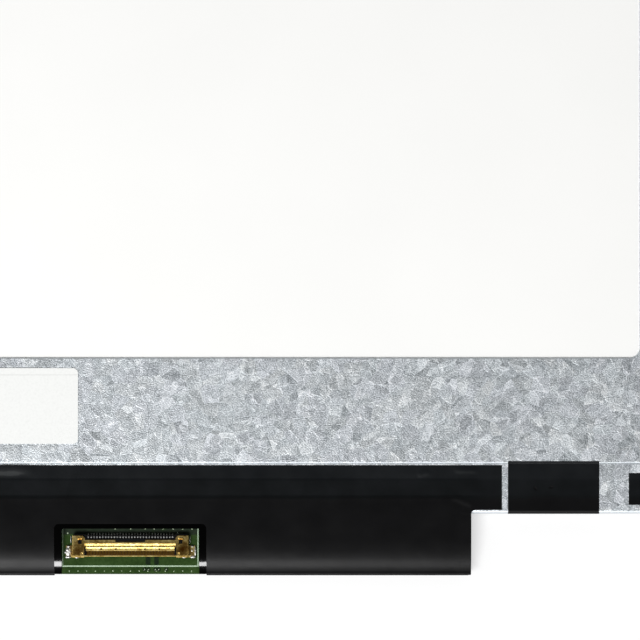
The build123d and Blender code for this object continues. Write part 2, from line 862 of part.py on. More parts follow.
with BuildPart() as connector_housing:
    with BuildSketch(connector_middle):
        span(-housing_half_length, housing_half_length, housing_front, housing_back)
    extrude(amount=housing_floor)
    with BuildSketch(connector_middle):
        span(-housing_half_length, housing_half_length, housing_wall, housing_back)
        for side in (-1, 1):
            with Locations((side * (housing_half_length - end_block_length / 2), housing_front)):
                Rectangle(end_block_length, end_block_depth - housing_front, align=(Align.CENTER, Align.MIN))
    extrude(amount=shell_level)
    with BuildSketch(connector_middle):
        span(-housing_half_length, housing_half_length, housing_back, comb_back)
    extrude(amount=comb_height)
    with BuildSketch(connector_middle.offset(housing_floor)):
        with Locations((0, housing_wall)):
            with GridLocations(contact_pitch, 1, contact_count, 1):
                Rectangle(slot_width, comb_back - housing_wall, align=(Align.CENTER, Align.MIN))
    extrude(amount=contact_thickness + contact_play, mode=Mode.SUBTRACT)
    with BuildSketch(connector_middle.offset(housing_floor)):
        with Locations((0, slot_front)):
            with GridLocations(contact_pitch, 1, contact_count, 1):
                Rectangle(slot_width, comb_back - slot_front, align=(Align.CENTER, Align.MIN))
    extrude(amount=shell_level - housing_floor, mode=Mode.SUBTRACT)
    with BuildSketch(connector_middle):
        with Locations((0, housing_back)):
            with GridLocations(contact_pitch, 1, contact_count, 1):
                Rectangle(slot_width, comb_back - housing_back, align=(Align.CENTER, Align.MIN))
    extrude(amount=comb_height, mode=Mode.SUBTRACT)
    # Bar over the legs of the contacts, from end block to end block
    with BuildSketch(connector_middle.offset(bridge_level)):
        span(-housing_half_length, housing_half_length, bridge_front, bridge_front + bridge_depth)
    extrude(amount=shell_level - bridge_level)
connector_housing.part.label = "connector_housing"
export_step(connector_housing.part, "parts/connector_housing.step")

# Contacts: each has a broad blade on the floor of the housing, rises to a shoulder and steps down
with BuildPart() as contact:
    with BuildSketch(Plane.YZ):
        with BuildLine():
            Polyline(
                (contact_tip, housing_floor),
                (contact_shoulder + contact_thickness, housing_floor),
                (contact_shoulder + contact_thickness, shoulder_level),
                (contact_heel, shoulder_level),
                (contact_heel, 0),
                (contact_toe, 0),
                (contact_toe, contact_thickness),
                (contact_heel + contact_thickness, contact_thickness),
                (contact_heel + contact_thickness, shoulder_level + contact_thickness),
                (contact_shoulder, shoulder_level + contact_thickness),
                (contact_shoulder, housing_floor + contact_thickness),
                (contact_tip, housing_floor + contact_thickness),
                close=True,
            )
        make_face()
    extrude(amount=contact_width / 2, both=True)
    with BuildSketch(Plane.XY.offset(housing_floor)):
        span(-blade_width / 2, blade_width / 2, contact_tip, blade_end)
    extrude(amount=contact_thickness)

with BuildPart(connector_middle) as connector_contacts:
    with GridLocations(contact_pitch, 1, contact_count, 1):
        add(contact.part)
connector_contacts.part.label = "connector_contacts"
export_step(connector_contacts.part, "parts/connector_contacts.step")

# Solder: a wedge at the toe of each contact, and at the front and the outer side of each foot
with BuildPart() as toe_solder:
    with BuildSketch(Plane.YZ):
        with BuildLine():
            Polyline(
                (contact_toe, 0),
                (contact_toe + toe_solder_reach, 0),
                (contact_toe, contact_thickness),
                close=True,
            )
        make_face()
    extrude(amount=contact_width / 2, both=True)

with BuildPart() as foot_solder:
    foot_end = ear_half_length + foot_length
    with BuildSketch(Plane.XZ):
        with BuildLine():
            Polyline(
                (foot_end, 0),
                (foot_end + foot_solder_reach, 0),
                (foot_end, shell_thickness),
                close=True,
            )
        make_face()
    extrude(amount=-leg_depth)
    with BuildSketch(Plane.YZ.offset(leg_inside)):
        with BuildLine():
            Polyline((0, 0), (-foot_solder_reach, 0), (0, shell_thickness), close=True)
        make_face()
    extrude(amount=foot_end - leg_inside)
    mirror(about=Plane.YZ)

with BuildPart(connector_middle) as solder_joints:
    with GridLocations(contact_pitch, 1, contact_count, 1):
        add(toe_solder.part)
    add(foot_solder.part)
solder_joints.part.label = "solder_joints"
export_step(solder_joints.part, "parts/solder_joints.step")

# Adhesive strip on the ledge, and the glossy liner that it holds over the board
strip_low = body_bottom + bond_strip_low
strip_high = body_bottom + bond_strip_high
liner_edge = body_bottom + liner_top

with BuildPart() as bond_strip:
    with BuildSketch(Plane.XY.offset(ledge_back)):
        span(-board_half_length, board_half_length, strip_low, strip_high)
    extrude(amount=bond_strip_thickness)
bond_strip.part.label = "bond_strip"
export_step(bond_strip.part, "parts/bond_strip.step")

liner_stations = [
    (liner_edge, ledge_back),
    (strip_high + bond_step, ledge_back),
    (strip_high, cover_level),
    (drop_start, cover_level),
    (drop_end, board_back, roll_share),
    (board_bottom, board_back),
]
liner_sheet = draped_layer(liner_stations, liner_thickness, -board_half_length, board_half_length)

with BuildPart() as window_liner:
    add(liner_sheet.part)
    with BuildSketch(Plane.XY.offset(board_front)):
        with Locations((connector_x, board_bottom)):
            Rectangle(
                liner_window_width,
                body_bottom - liner_window_top - board_bottom,
                align=(Align.CENTER, Align.MIN),
            )
    extrude(amount=plate_back, mode=Mode.SUBTRACT)
window_liner.part.label = "window_liner"
export_step(window_liner.part, "parts/window_liner.step")

# Matt black tape over the liner and the ledge, folded round the lower edge of the board
cover_half_length = board_half_length + cover_overlap
flap_end = cover_half_length + flap_length
cover_edge = body_bottom + cover_top
flap_edge = body_bottom + flap_low
fold_inside = board_bottom - cover_slack
fold_outside = fold_inside - cover_thickness
wrap_end = board_bottom + cover_wrap
wrap_under = board_front - cover_thickness
lip_level = board_back + liner_thickness

cover_stations = [
    (cover_edge, ledge_back),
    (liner_edge + cover_step, ledge_back),
    (liner_edge, ledge_back + liner_thickness),
    (strip_high + bond_step, ledge_back + liner_thickness),
    (strip_high, cover_level + liner_thickness),
    (drop_start, cover_level + liner_thickness),
    (drop_end, lip_level, roll_share),
    (fold_inside + fold_bend, lip_level),
]
cover_sheet = draped_layer(cover_stations, cover_thickness, -cover_half_length, cover_half_length)

# Fold of the tape under the lower edge of the board
with BuildPart() as cover_fold:
    with BuildSketch(Plane.YZ.offset(-cover_half_length)) as fold_outer:
        span(fold_outside, wrap_end, wrap_under, lip_level + cover_thickness)
        fillet(fold_outer.vertices().group_by(Axis.X)[0], fold_bend + cover_thickness)
    extrude(amount=2 * cover_half_length)
    with BuildSketch(Plane.YZ.offset(-cover_half_length)) as fold_inner:
        span(fold_inside, wrap_end, board_front, lip_level)
        fillet(fold_inner.vertices().group_by(Axis.X)[0], fold_bend)
        span(drop_end, wrap_end, board_front, lip_level + cover_thickness)
    extrude(amount=2 * cover_half_length, mode=Mode.SUBTRACT)

with BuildPart() as board_cover_tape:
    add(cover_sheet.part)
    add(cover_fold.part)
    # Flap at each end, sloping down from the liner to lie flat on the ledge
    with BuildSketch(Plane.YZ.offset(cover_half_length)):
        with BuildLine():
            Polyline(
                (cover_edge, ledge_back),
                (liner_edge, ledge_back + liner_thickness),
                (strip_high + bond_step, ledge_back + liner_thickness),
                (strip_high, cover_level + liner_thickness),
                (flap_edge, cover_level + liner_thickness),
                (flap_edge, cover_level + liner_thickness + cover_thickness),
                (strip_high, cover_level + liner_thickness + cover_thickness),
                (strip_high + bond_step, ledge_back + liner_thickness + cover_thickness),
                (liner_edge, ledge_back + liner_thickness + cover_thickness),
                (cover_edge, ledge_back + cover_thickness),
                close=True,
            )
        make_face()
    with BuildSketch(Plane.YZ.offset(cover_half_length + flap_slope)):
        with BuildLine():
            Polyline(
                (cover_edge, ledge_back),
                (liner_edge, ledge_back),
                (strip_high + bond_step, ledge_back),
                (strip_high, ledge_back),
                (flap_edge, ledge_back),
                (flap_edge, ledge_back + cover_thickness),
                (strip_high, ledge_back + cover_thickness),
                (strip_high + bond_step, ledge_back + cover_thickness),
                (liner_edge, ledge_back + cover_thickness),
                (cover_edge, ledge_back + cover_thickness),
                close=True,
            )
        make_face()
    loft(ruled=True)
    with BuildSketch(Plane.XY.offset(ledge_back)):
        span(cover_half_length + flap_slope, flap_end, flap_edge, cover_edge)
    extrude(amount=cover_thickness)
    split(bisect_by=Plane.YZ, keep=Keep.TOP)
    mirror(about=Plane.YZ)
    # Cut-out for the connector, open at the lower edge
    with BuildSketch(Plane.XY.offset(wrap_under)) as opening:
        with Locations((connector_x, fold_outside)):
            Rectangle(
                cover_window_width,
                body_bottom - cover_window_top - fold_outside,
                align=(Align.CENTER, Align.MIN),
            )
        fillet(opening.vertices().group_by(Axis.Y)[-1], cover_window_corner)
    extrude(amount=plate_back, mode=Mode.SUBTRACT)
    # Nipped corners at the two ends of the fold
    with BuildSketch(Plane.XY.offset(wrap_under)):
        with BuildLine():
            Polyline(
                (cover_half_length, fold_outside),
                (cover_half_length - cover_nip_length, fold_outside),
                (cover_half_length, fold_outside + cover_nip_depth),
                close=True,
            )
        make_face()
        mirror(about=Plane.YZ)
    extrude(amount=plate_back, mode=Mode.SUBTRACT)
board_cover_tape.part.label = "board_cover_tape"
export_step(board_cover_tape.part, "parts/board_cover_tape.step")

# Tape over the end of the lamp strip, from the step of the frame round its lower bend
lamp_end_tape_left = flap_end + lamp_end_tape_gap
lamp_end_tape_right = lamp_end_tape_left + lamp_end_tape_width
tape_bend = bend_radius + small_tape_thickness

step_tape = draped_layer(
    [
        (joggle_end + lamp_end_tape_lap, plate_back),
        (joggle_end, plate_back),
        (ledge_end, ledge_back),
        (body_bottom + bend_radius, ledge_back),
    ],
    small_tape_thickness,
    lamp_end_tape_left,
    lamp_end_tape_right,
)

with BuildPart() as lamp_end_tape:
    add(step_tape.part)
    with BuildSketch(Plane.YZ.offset(lamp_end_tape_left)):
        with Locations((body_bottom + bend_radius, ledge_back - bend_radius)):
            Circle(tape_bend)
            Circle(bend_radius, mode=Mode.SUBTRACT)
            Rectangle(tape_bend, 2 * tape_bend, align=(Align.MIN, Align.CENTER), mode=Mode.SUBTRACT)
            Rectangle(2 * tape_bend, tape_bend, align=(Align.CENTER, Align.MAX), mode=Mode.SUBTRACT)
        span(
            body_bottom - small_tape_thickness,
            body_bottom,
            ledge_back - bend_radius - lamp_end_tape_wrap,
            ledge_back - bend_radius,
        )
    extrude(amount=lamp_end_tape_width)
lamp_end_tape.part.label = "lamp_end_tape"
export_step(lamp_end_tape.part, "parts/lamp_end_tape.step")

# Small tape at the right end of the ledge
with BuildPart() as corner_tape:
    corner_tape_right = body_half_width - corner_tape_margin
    corner_tape_bottom = body_bottom + corner_tape_low
    with BuildSketch(Plane.XY.offset(ledge_back)):
        span(
            corner_tape_right - corner_tape_width,
            corner_tape_right,
            corner_tape_bottom,
            corner_tape_bottom + corner_tape_height,
        )
    extrude(amount=small_tape_thickness)
corner_tape.part.label = "corner_tape"
export_step(corner_tape.part, "parts/corner_tape.step")

# Tape on the display side, from the edge of the filter glass over the driver films to the board
driver_tape_under = filter_level - driver_tape_thickness
driver_tape_start = -glass_half_height + driver_tape_lap
driver_tape_flat = board_top - driver_tape_landing

driver_cover_tape = draped_layer(
    [
        (driver_tape_start, driver_tape_under),
        (body_bottom, driver_tape_under),
        (driver_tape_flat, board_front - driver_tape_thickness),
        (driver_tape_flat - driver_tape_end, board_front - driver_tape_thickness),
    ],
    driver_tape_thickness,
    driver_tape_setback - board_half_length,
    board_half_length - driver_tape_setback,
)
driver_cover_tape.part.label = "driver_cover_tape"
export_step(driver_cover_tape.part, "parts/driver_cover_tape.step")

# Blank paper label on the lower strip of the frame
with BuildPart() as product_label:
    with BuildSketch(Plane.XY.offset(plate_back)) as label_outline:
        label_bottom = body_bottom + label_low
        span(label_right - label_length, label_right, label_bottom, label_bottom + label_height)
        fillet(label_outline.vertices(), label_corner)
    extrude(amount=label_thickness)
product_label.part.label = "product_label"
export_step(product_label.part, "parts/product_label.step")
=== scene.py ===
import bmesh
import bpy
import math
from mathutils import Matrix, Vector


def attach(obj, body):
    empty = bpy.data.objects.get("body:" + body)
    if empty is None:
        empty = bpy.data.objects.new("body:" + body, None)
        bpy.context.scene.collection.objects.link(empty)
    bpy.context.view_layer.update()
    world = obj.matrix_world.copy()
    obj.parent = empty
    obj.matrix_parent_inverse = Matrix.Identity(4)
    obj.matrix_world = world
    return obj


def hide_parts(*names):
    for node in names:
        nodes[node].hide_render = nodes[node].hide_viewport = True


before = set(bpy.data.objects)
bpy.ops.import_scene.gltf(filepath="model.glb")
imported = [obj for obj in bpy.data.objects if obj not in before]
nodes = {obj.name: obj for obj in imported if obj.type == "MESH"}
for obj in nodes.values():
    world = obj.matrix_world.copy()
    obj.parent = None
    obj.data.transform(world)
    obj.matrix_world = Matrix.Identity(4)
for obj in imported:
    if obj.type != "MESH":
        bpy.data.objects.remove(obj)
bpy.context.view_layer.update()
MM = 0.001
bpy.ops.object.select_all(action="DESELECT")

# Display cell
# Two sheets of thin glass with the liquid crystal sealed between them, and a dark polarizer on each face.
# The glass is cut from large sheets and the polarizers are laminated on; the front one has a matt coat.


def colour(red, green, blue):
    """Colour of a surface that shows these 0 to 255 values in plain white light."""
    shown = [value / 255 for value in (red, green, blue)]
    return [v / 12.92 if v <= 0.04045 else ((v + 0.055) / 1.055) ** 2.4 for v in shown] + [1.0]


def finish(name, roughness, metallic=0.0, specular=0.5):
    """New finish: its material, its nodes, its shader and the coordinates of the piece."""
    material = bpy.data.materials.new(name)
    material.use_nodes = True
    tree = material.node_tree
    shader = tree.nodes["Principled BSDF"]
    shader.inputs["Roughness"].default_value = roughness
    shader.inputs["Metallic"].default_value = metallic
    shader.inputs["Specular IOR Level"].default_value = specular
    place = tree.nodes.new("ShaderNodeTexCoord").outputs["Object"]
    return material, tree, shader, place


def mottle(tree, place, scale, detail=2.0, stretch=None):
    """Cloudy pattern from 0 to 1, with so many clouds a metre, drawn out along an axis where asked."""
    if stretch:
        mapping = tree.nodes.new("ShaderNodeMapping")
        mapping.inputs["Scale"].default_value = stretch
        tree.links.new(place, mapping.inputs["Vector"])
        place = mapping.outputs["Vector"]
    noise = tree.nodes.new("ShaderNodeTexNoise")
    noise.inputs["Scale"].default_value = scale
    noise.inputs["Detail"].default_value = detail
    tree.links.new(place, noise.inputs["Vector"])
    return noise.outputs["Fac"]


def tint(tree, pattern, socket, *stops):
    """Colours at places along the pattern, into a socket of the shader."""
    ramp = tree.nodes.new("ShaderNodeValToRGB")
    while len(ramp.color_ramp.elements) < len(stops):
        ramp.color_ramp.elements.new(0.5)
    for element, (position, shade) in zip(ramp.color_ramp.elements, stops):
        element.position = position
        element.color = shade
    tree.links.new(pattern, ramp.inputs["Fac"])
    tree.links.new(ramp.outputs["Color"], socket)


def spread(tree, pattern, socket, low, high, start=0.0, end=1.0):
    """Value from low to high as the pattern goes from start to end, into a socket where one is given."""
    scale = tree.nodes.new("ShaderNodeMapRange")
    scale.inputs["From Min"].default_value = start
    scale.inputs["From Max"].default_value = end
    scale.inputs["To Min"].default_value = low
    scale.inputs["To Max"].default_value = high
    tree.links.new(pattern, scale.inputs["Value"])
    if socket:
        tree.links.new(scale.outputs["Result"], socket)
    return scale.outputs["Result"]


def relief(tree, pattern, shader, depth):
    """Fine relief of the surface, so many metres deep."""
    bump = tree.nodes.new("ShaderNodeBump")
    bump.inputs["Distance"].default_value = depth
    tree.links.new(pattern, bump.inputs["Height"])
    tree.links.new(bump.outputs["Normal"], shader.inputs["Normal"])
    return bump


def dress(material, *names):
    """Gives these pieces of the frame that material."""
    for name in names:
        nodes[name].material_slots[0].material = material


polarizer, tree, shader, place = finish("polarizer_film", 0.35)
tint(tree, mottle(tree, place, 60), shader.inputs["Base Color"],
     (0.3, colour(36, 37, 41)), (0.7, colour(41, 42, 47)))
relief(tree, mottle(tree, place, 9000), shader, 0.000004)
dress(polarizer, "front_polarizer", "rear_polarizer")

cell_glass, tree, shader, place = finish("cell_glass", 0.06)
tint(tree, mottle(tree, place, 25), shader.inputs["Base Color"],
     (0.3, colour(196, 214, 208)), (0.7, colour(206, 222, 217)))
shader.inputs["Transmission Weight"].default_value = 0.6
dress(cell_glass, "filter_glass", "array_glass")

# Rim tape
# Black double-sided tape, die cut to a frame, that bonds the cell to the shelf of the middle frame.
# It also stops light from the backlight at the edge of the picture.
adhesive, tree, shader, place = finish("black_adhesive", 0.62)
film = mottle(tree, place, 900, 4.0)
tint(tree, film, shader.inputs["Base Color"], (0.3, colour(40, 40, 41)), (0.7, colour(50, 50, 51)))
relief(tree, film, shader, 0.00001)
dress(adhesive, "rim_tape", "bond_strip")

# Middle frame
# One black injection moulding, with the shelf for the cell, the pocket for the sheets and the catches.
# It snaps into the rear frame; its faces carry the fine spark texture of the mould.
moulding, tree, shader, place = finish("black_moulding", 0.5)
spark = mottle(tree, place, 5000, 3.0)
tint(tree, mottle(tree, place, 180), shader.inputs["Base Color"],
     (0.3, colour(40, 40, 42)), (0.7, colour(48, 48, 50)))
spread(tree, spark, shader.inputs["Roughness"], 0.42, 0.6)
relief(tree, spark, shader, 0.000012)
dress(moulding, "middle_frame")

# Optical sheets and light guide
# Milky diffusers and clear ribbed prism sheets, cut from roll film and stacked loose on an acrylic guide.
# The guide takes the light in at its lower edge and sheds it through fine dots on its face.
milky, tree, shader, place = finish("diffuser_film", 0.5)
tint(tree, mottle(tree, place, 120), shader.inputs["Base Color"],
     (0.3, colour(236, 238, 240)), (0.7, colour(242, 243, 245)))
relief(tree, mottle(tree, place, 8000), shader, 0.000004)
dress(milky, "upper_diffuser", "lower_diffuser")

ribbed, tree, shader, place = finish("prism_film", 0.25)
ribs = mottle(tree, place, 1.0, 0.0, (200, 20000, 200))
tint(tree, ribs, shader.inputs["Base Color"], (0.3, colour(228, 231, 235)), (0.7, colour(238, 240, 243)))
relief(tree, ribs, shader, 0.00002)
dress(ribbed, "upper_prism_sheet", "lower_prism_sheet")

acrylic, tree, shader, place = finish("clear_acrylic", 0.08)
tint(tree, mottle(tree, place, 40), shader.inputs["Base Color"],
     (0.3, colour(224, 238, 240)), (0.7, colour(232, 243, 244)))
shader.inputs["Transmission Weight"].default_value = 0.5
dress(acrylic, "light_guide")

# Reflector
# White foamed polyester sheet behind the light guide, seen through the window of the rear frame.
# It is smooth with a soft sheen, and shows faint cloudiness and a few small rubbed places.
reflector, tree, shader, place = finish("white_reflector", 0.42, specular=0.25)
tint(tree, mottle(tree, place, 35, 3.0), shader.inputs["Base Color"],
     (0.3, colour(248, 248, 246)), (0.7, colour(250, 250, 248)))
spread(tree, mottle(tree, place, 90, 3.0), shader.inputs["Roughness"], 0.38, 0.5)
relief(tree, mottle(tree, place, 70, 2.0), shader, 0.00002)
dress(reflector, "reflector_sheet")

# Lamp strip
# Amber polyimide flex with copper in it, and white moulded lamps soldered along it facing the light guide.
# A tail of the flex leaves the frame and is soldered to the board.
amber, tree, shader, place = finish("amber_flex", 0.3)
copper = mottle(tree, place, 1.0, 1.0, (60, 3200, 60))
tint(tree, copper, shader.inputs["Base Color"], (0.42, colour(150, 92, 34)), (0.58, colour(184, 122, 52)))
relief(tree, copper, shader, 0.000015)
dress(amber, "led_flex", "driver_films")

lamp_white, tree, shader, place = finish("lamp_moulding", 0.45)
tint(tree, mottle(tree, place, 700), shader.inputs["Base Color"],
     (0.3, colour(238, 236, 226)), (0.7, colour(246, 244, 236)))
dress(lamp_white, "led_chips")

# Rear frame
# One stamping of thin steel sheet, hot-dip galvanised before it was pressed, with four bent walls.
# The zinc froze in flat crystals of many shades, each with its own direction of fine needles.
LARGE_CRYSTALS = 400
FACETS = 620
CHIPS = 1300
SHADED_STEP_LOW = -102.74
SHADED_STEP_HIGH = -102.57
SHADED_STEP_BLUR = 0.03
LEVEL_START = 0.94
LEVEL_END = 0.995


def axes(tree, place):
    """The X, Y and Z of coordinates or of a direction."""
    split = tree.nodes.new("ShaderNodeSeparateXYZ")
    tree.links.new(place, split.inputs["Vector"])
    return split.outputs


def crystals(tree, place, scale):
    """Flat crystals, so many a metre: three values for each, from 0 to 1."""
    cells = tree.nodes.new("ShaderNodeTexVoronoi")
    cells.inputs["Scale"].default_value = scale
    tree.links.new(place, cells.inputs["Vector"])
    split = tree.nodes.new("ShaderNodeSeparateColor")
    tree.links.new(cells.outputs["Color"], split.inputs["Color"])
    return split.outputs


def seams(tree, place, scale, width):
    """Lines where crystals meet: 1 on the line and 0 beyond a part of the size of a crystal."""
    cells = tree.nodes.new("ShaderNodeTexVoronoi")
    cells.feature = "DISTANCE_TO_EDGE"
    cells.inputs["Scale"].default_value = scale
    tree.links.new(place, cells.inputs["Vector"])
    return spread(tree, cells.outputs["Distance"], None, 1.0, 0.0, 0.0, width)


def where(tree, pattern, mask):
    """Pattern kept only where the mask is."""
    product = tree.nodes.new("ShaderNodeMath")
    product.operation = "MULTIPLY"
    tree.links.new(pattern, product.inputs[0])
    tree.links.new(mask, product.inputs[1])
    return product.outputs["Value"]


def blend(tree, *shares):
    """Sum of patterns, each taken with its share."""
    total = None
    for pattern, share in shares:
        term = tree.nodes.new("ShaderNodeMath")
        term.operation = "MULTIPLY_ADD"
        term.inputs[1].default_value = share
        term.inputs[2].default_value = 0.0
        tree.links.new(pattern, term.inputs[0])
        if total:
            tree.links.new(total, term.inputs[2])
        total = term.outputs["Value"]
    return total


def displace(tree, place, scale, reach):
    """Coordinates shifted to and fro, so that straight edges in a pattern turn ragged."""
    ragged = tree.nodes.new("ShaderNodeTexNoise")
    ragged.inputs["Scale"].default_value = scale
    ragged.inputs["Detail"].default_value = 3.0
    tree.links.new(place, ragged.inputs["Vector"])
    shift = tree.nodes.new("ShaderNodeVectorMath")
    shift.operation = "MULTIPLY_ADD"
    shift.inputs[1].default_value = (reach, reach, 0.0)
    tree.links.new(ragged.outputs["Color"], shift.inputs[0])
    tree.links.new(place, shift.inputs[2])
    return shift.outputs["Vector"]


def turned(tree, place, angle, stretch):
    """Coordinates turned by a pattern, so that each crystal has its own direction, and drawn out."""
    turn = tree.nodes.new("ShaderNodeVectorRotate")
    turn.rotation_type = "Z_AXIS"
    tree.links.new(place, turn.inputs["Vector"])
    spread(tree, angle, turn.inputs["Angle"], 0.0, math.tau)
    mapping = tree.nodes.new("ShaderNodeMapping")
    mapping.inputs["Scale"].default_value = stretch
    tree.links.new(turn.outputs["Vector"], mapping.inputs["Vector"])
    return mapping.outputs["Vector"]


steel, tree, shader, place = finish("galvanised_steel", 0.55, 1.0)
# Painted shade: a dull line drawn darker between the two bright bends of the step
along = axes(tree, place)
step = where(
    tree,
    spread(tree, along["Y"], None, 0.0, 1.0, (SHADED_STEP_LOW - SHADED_STEP_BLUR) * MM, SHADED_STEP_LOW * MM),
    spread(tree, along["Y"], None, 1.0, 0.0, SHADED_STEP_HIGH * MM, (SHADED_STEP_HIGH + SHADED_STEP_BLUR) * MM),
)
# Crystals in three sizes, with bright edges here and there
spangle = displace(tree, place, 1500, 0.00006)
large = crystals(tree, spangle, LARGE_CRYSTALS)
lie = turned(tree, spangle, large["Green"], (1.0, 0.5, 1.0))
facets = crystals(tree, lie, FACETS)
chips = crystals(tree, lie, CHIPS)
needles = mottle(tree, turned(tree, place, large["Green"], (0.25, 1.0, 1.0)), 5200, 2.0)
grain = mottle(tree, place, 5000, 0.4)
shards = where(tree, seams(tree, lie, FACETS, 0.08),
               spread(tree, mottle(tree, place, 700, 1.0), None, 0.0, 1.0, 0.5, 0.58))
zinc = blend(
    tree,
    (large["Red"], 0.02),
    (facets["Red"], 0.045),
    (spread(tree, facets["Red"], None, 0.0, 1.0, 0.83, 0.86), 0.045),
    (spread(tree, facets["Red"], None, 1.0, 0.0, 0.06, 0.09), -0.045),
    (chips["Red"], 0.08),
    (needles, 0.17),
    (grain, 0.46),
    (shards, 0.12),
)
# Smooth on the bends
facing = axes(tree, tree.nodes.new("ShaderNodeNewGeometry").outputs["True Normal"])
flat = spread(tree, facing["Z"], None, 0.0, 1.0, LEVEL_START, LEVEL_END)
bent = spread(tree, facing["Z"], None, 1.0, 0.0, LEVEL_START, LEVEL_END)
# The step's painted shade is taken off the colour here
coat = blend(tree, (where(tree, zinc, flat), 1.0), (bent, 0.4), (step, -0.14))
shades = tree.nodes.new("ShaderNodeMix")
shades.data_type = "RGBA"
shades.blend_type = "MULTIPLY"
shades.inputs["Factor"].default_value = 1.0
tint(tree, coat, shades.inputs["A"], (0.14, colour(120, 124, 127)), (0.27, colour(162, 167, 170)),
     (0.415, colour(215, 219, 222)), (0.52, colour(246, 249, 251)), (0.64, colour(255, 255, 255)))
tint(tree, large["Blue"], shades.inputs["B"], (0.2, (0.975, 0.98, 1.0, 1)), (0.55, (0.97, 0.99, 1.0, 1)),
     (0.9, (0.985, 0.99, 0.99, 1)))
tree.links.new(shades.outputs["Result"], shader.inputs["Base Color"])
spread(tree, facets["Green"], shader.inputs["Roughness"], 0.5, 0.62)
tree.links.new(flat, relief(tree, zinc, shader, 0.00008).inputs["Strength"])
dress(steel, "rear_frame")

# Driver films
# Amber films bonded to the ledge of the glass and to the board, each with a slim bare silicon chip.
# They bend round the lower edge of the frame under the black tape of the display side.
silicon, tree, shader, place = finish("bare_silicon", 0.22, 0.3)
tint(tree, mottle(tree, place, 900), shader.inputs["Base Color"],
     (0.3, colour(58, 60, 66)), (0.7, colour(72, 74, 80)))
dress(silicon, "driver_chips")

# Control board
# Glass fibre board with a green solder mask over copper, routed to a long strip.
# White legend, small vias and two dark tracks show round the connector.
BOARD_BACK = 1.75
SHADED_STRIP_START = -115.3
SHADED_STRIP_END = -114.7
LEGEND_HEIGHT = 0.012
LEGEND_LOW = -120.5
VIA_HEIGHT = 0.01
TRACK_HEIGHT = 0.008
RINGED_VIAS = (90.32, 91.01, 92.19, 92.78, 94.07)
RINGED_ROW = -120.93
mask, tree, shader, place = finish("green_solder_mask", 0.3, specular=0.25)
along = axes(tree, place)
# Painted shade: the board is drawn darker and greyer in a strip along the edge of the films over the
# connector
grey = spread(tree, along["Y"], None, 0.0, 1.0, SHADED_STRIP_START * MM, SHADED_STRIP_END * MM)
pour = blend(tree, (mottle(tree, place, 420, 3.0), 0.4), (mottle(tree, place, 2400, 2.0), 0.3), (grey, 0.3))
tint(tree, pour, shader.inputs["Base Color"], (0.25, colour(34, 55, 20)), (0.35, colour(43, 65, 27)),
     (0.45, colour(52, 74, 36)), (0.6, colour(34, 44, 32)), (0.75, colour(46, 56, 44)))
relief(tree, pour, shader, 0.00001)
dress(mask, "control_board")


def start_piece(name):
    """Empty piece at the origin, open in edit mode."""
    bpy.ops.object.select_all(action="DESELECT")
    piece = bpy.data.objects.new(name, bpy.data.meshes.new(name))
    bpy.context.collection.objects.link(piece)
    bpy.context.view_layer.objects.active = piece
    piece.select_set(True)
    bpy.ops.object.mode_set(mode="EDIT")
    return piece


def lay_bar(left, right, low, high, level, height):
    """Flat bar between four edges, raised to its height."""
    bpy.ops.mesh.select_all(action="DESELECT")
    middle = ((left + right) / 2 * MM, (low + high) / 2 * MM, level * MM)
    bpy.ops.mesh.primitive_plane_add(size=MM, location=middle)
    bpy.ops.transform.resize(value=(right - left, high - low, 1), center_override=middle)
    bpy.ops.mesh.extrude_region_move(TRANSFORM_OT_translate={"value": (0, 0, height * MM)})


def lay_dot(x, y, radius, level, height, sides=12, shrink=0.75):
    """Round spot with a smaller top."""
    bpy.ops.mesh.select_all(action="DESELECT")
    middle = (x * MM, y * MM, level * MM)
    bpy.ops.mesh.primitive_circle_add(vertices=sides, radius=radius * MM, fill_type="NGON", location=middle)
    bpy.ops.mesh.extrude_region_move(TRANSFORM_OT_translate={"value": (0, 0, height * MM)})
    bpy.ops.transform.resize(value=(shrink, shrink, 1), center_override=middle)


def close_piece(piece, material, angle=40):
    """Closes the mesh of a new piece and puts it on the panel."""
    bpy.ops.mesh.select_all(action="SELECT")
    bpy.ops.mesh.normals_make_consistent(inside=False)
    bpy.ops.object.mode_set(mode="OBJECT")
    bpy.ops.object.shade_smooth_by_angle(angle=math.radians(angle))
    piece.data.materials.append(material)
    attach(piece, "root")
    piece.select_set(False)


legend_white, tree, shader, place = finish("legend_ink", 0.6)
tint(tree, mottle(tree, place, 5000, 3.0), shader.inputs["Base Color"],
     (0.35, colour(142, 168, 138)), (0.65, colour(192, 212, 186)))
legend = start_piece("board_legend")
lay_bar(76.2, 76.3, LEGEND_LOW, -114.0, BOARD_BACK, LEGEND_HEIGHT)
lay_bar(99.42, 99.6, LEGEND_LOW, -113.9, BOARD_BACK, LEGEND_HEIGHT)
lay_bar(76.3, 99.4, -120.48, -120.26, BOARD_BACK, LEGEND_HEIGHT)
lay_dot(96.0, -114.68, 0.2, BOARD_BACK, LEGEND_HEIGHT, sides=3)
close_piece(legend, legend_white)

via_metal, tree, shader, place = finish("via_metal", 0.4, 0.4)
tint(tree, mottle(tree, place, 3000), shader.inputs["Base Color"],
     (0.3, colour(128, 150, 112)), (0.7, colour(190, 204, 176)))
vias = start_piece("board_vias")
for column in range(15):
    lay_dot(77.38 + 1.502 * column, -121.2, 0.1, BOARD_BACK, VIA_HEIGHT)
for x in (85.3, 87.94, 90.46, 91.99, 93.53, 95.25, 96.91, 98.5):
    lay_dot(x, -113.95, 0.11, BOARD_BACK, VIA_HEIGHT)
lay_dot(77.12, -114.68, 0.12, BOARD_BACK, VIA_HEIGHT)
for x in RINGED_VIAS:
    lay_dot(x, RINGED_ROW, 0.1, BOARD_BACK + TRACK_HEIGHT, VIA_HEIGHT)
close_piece(vias, via_metal)

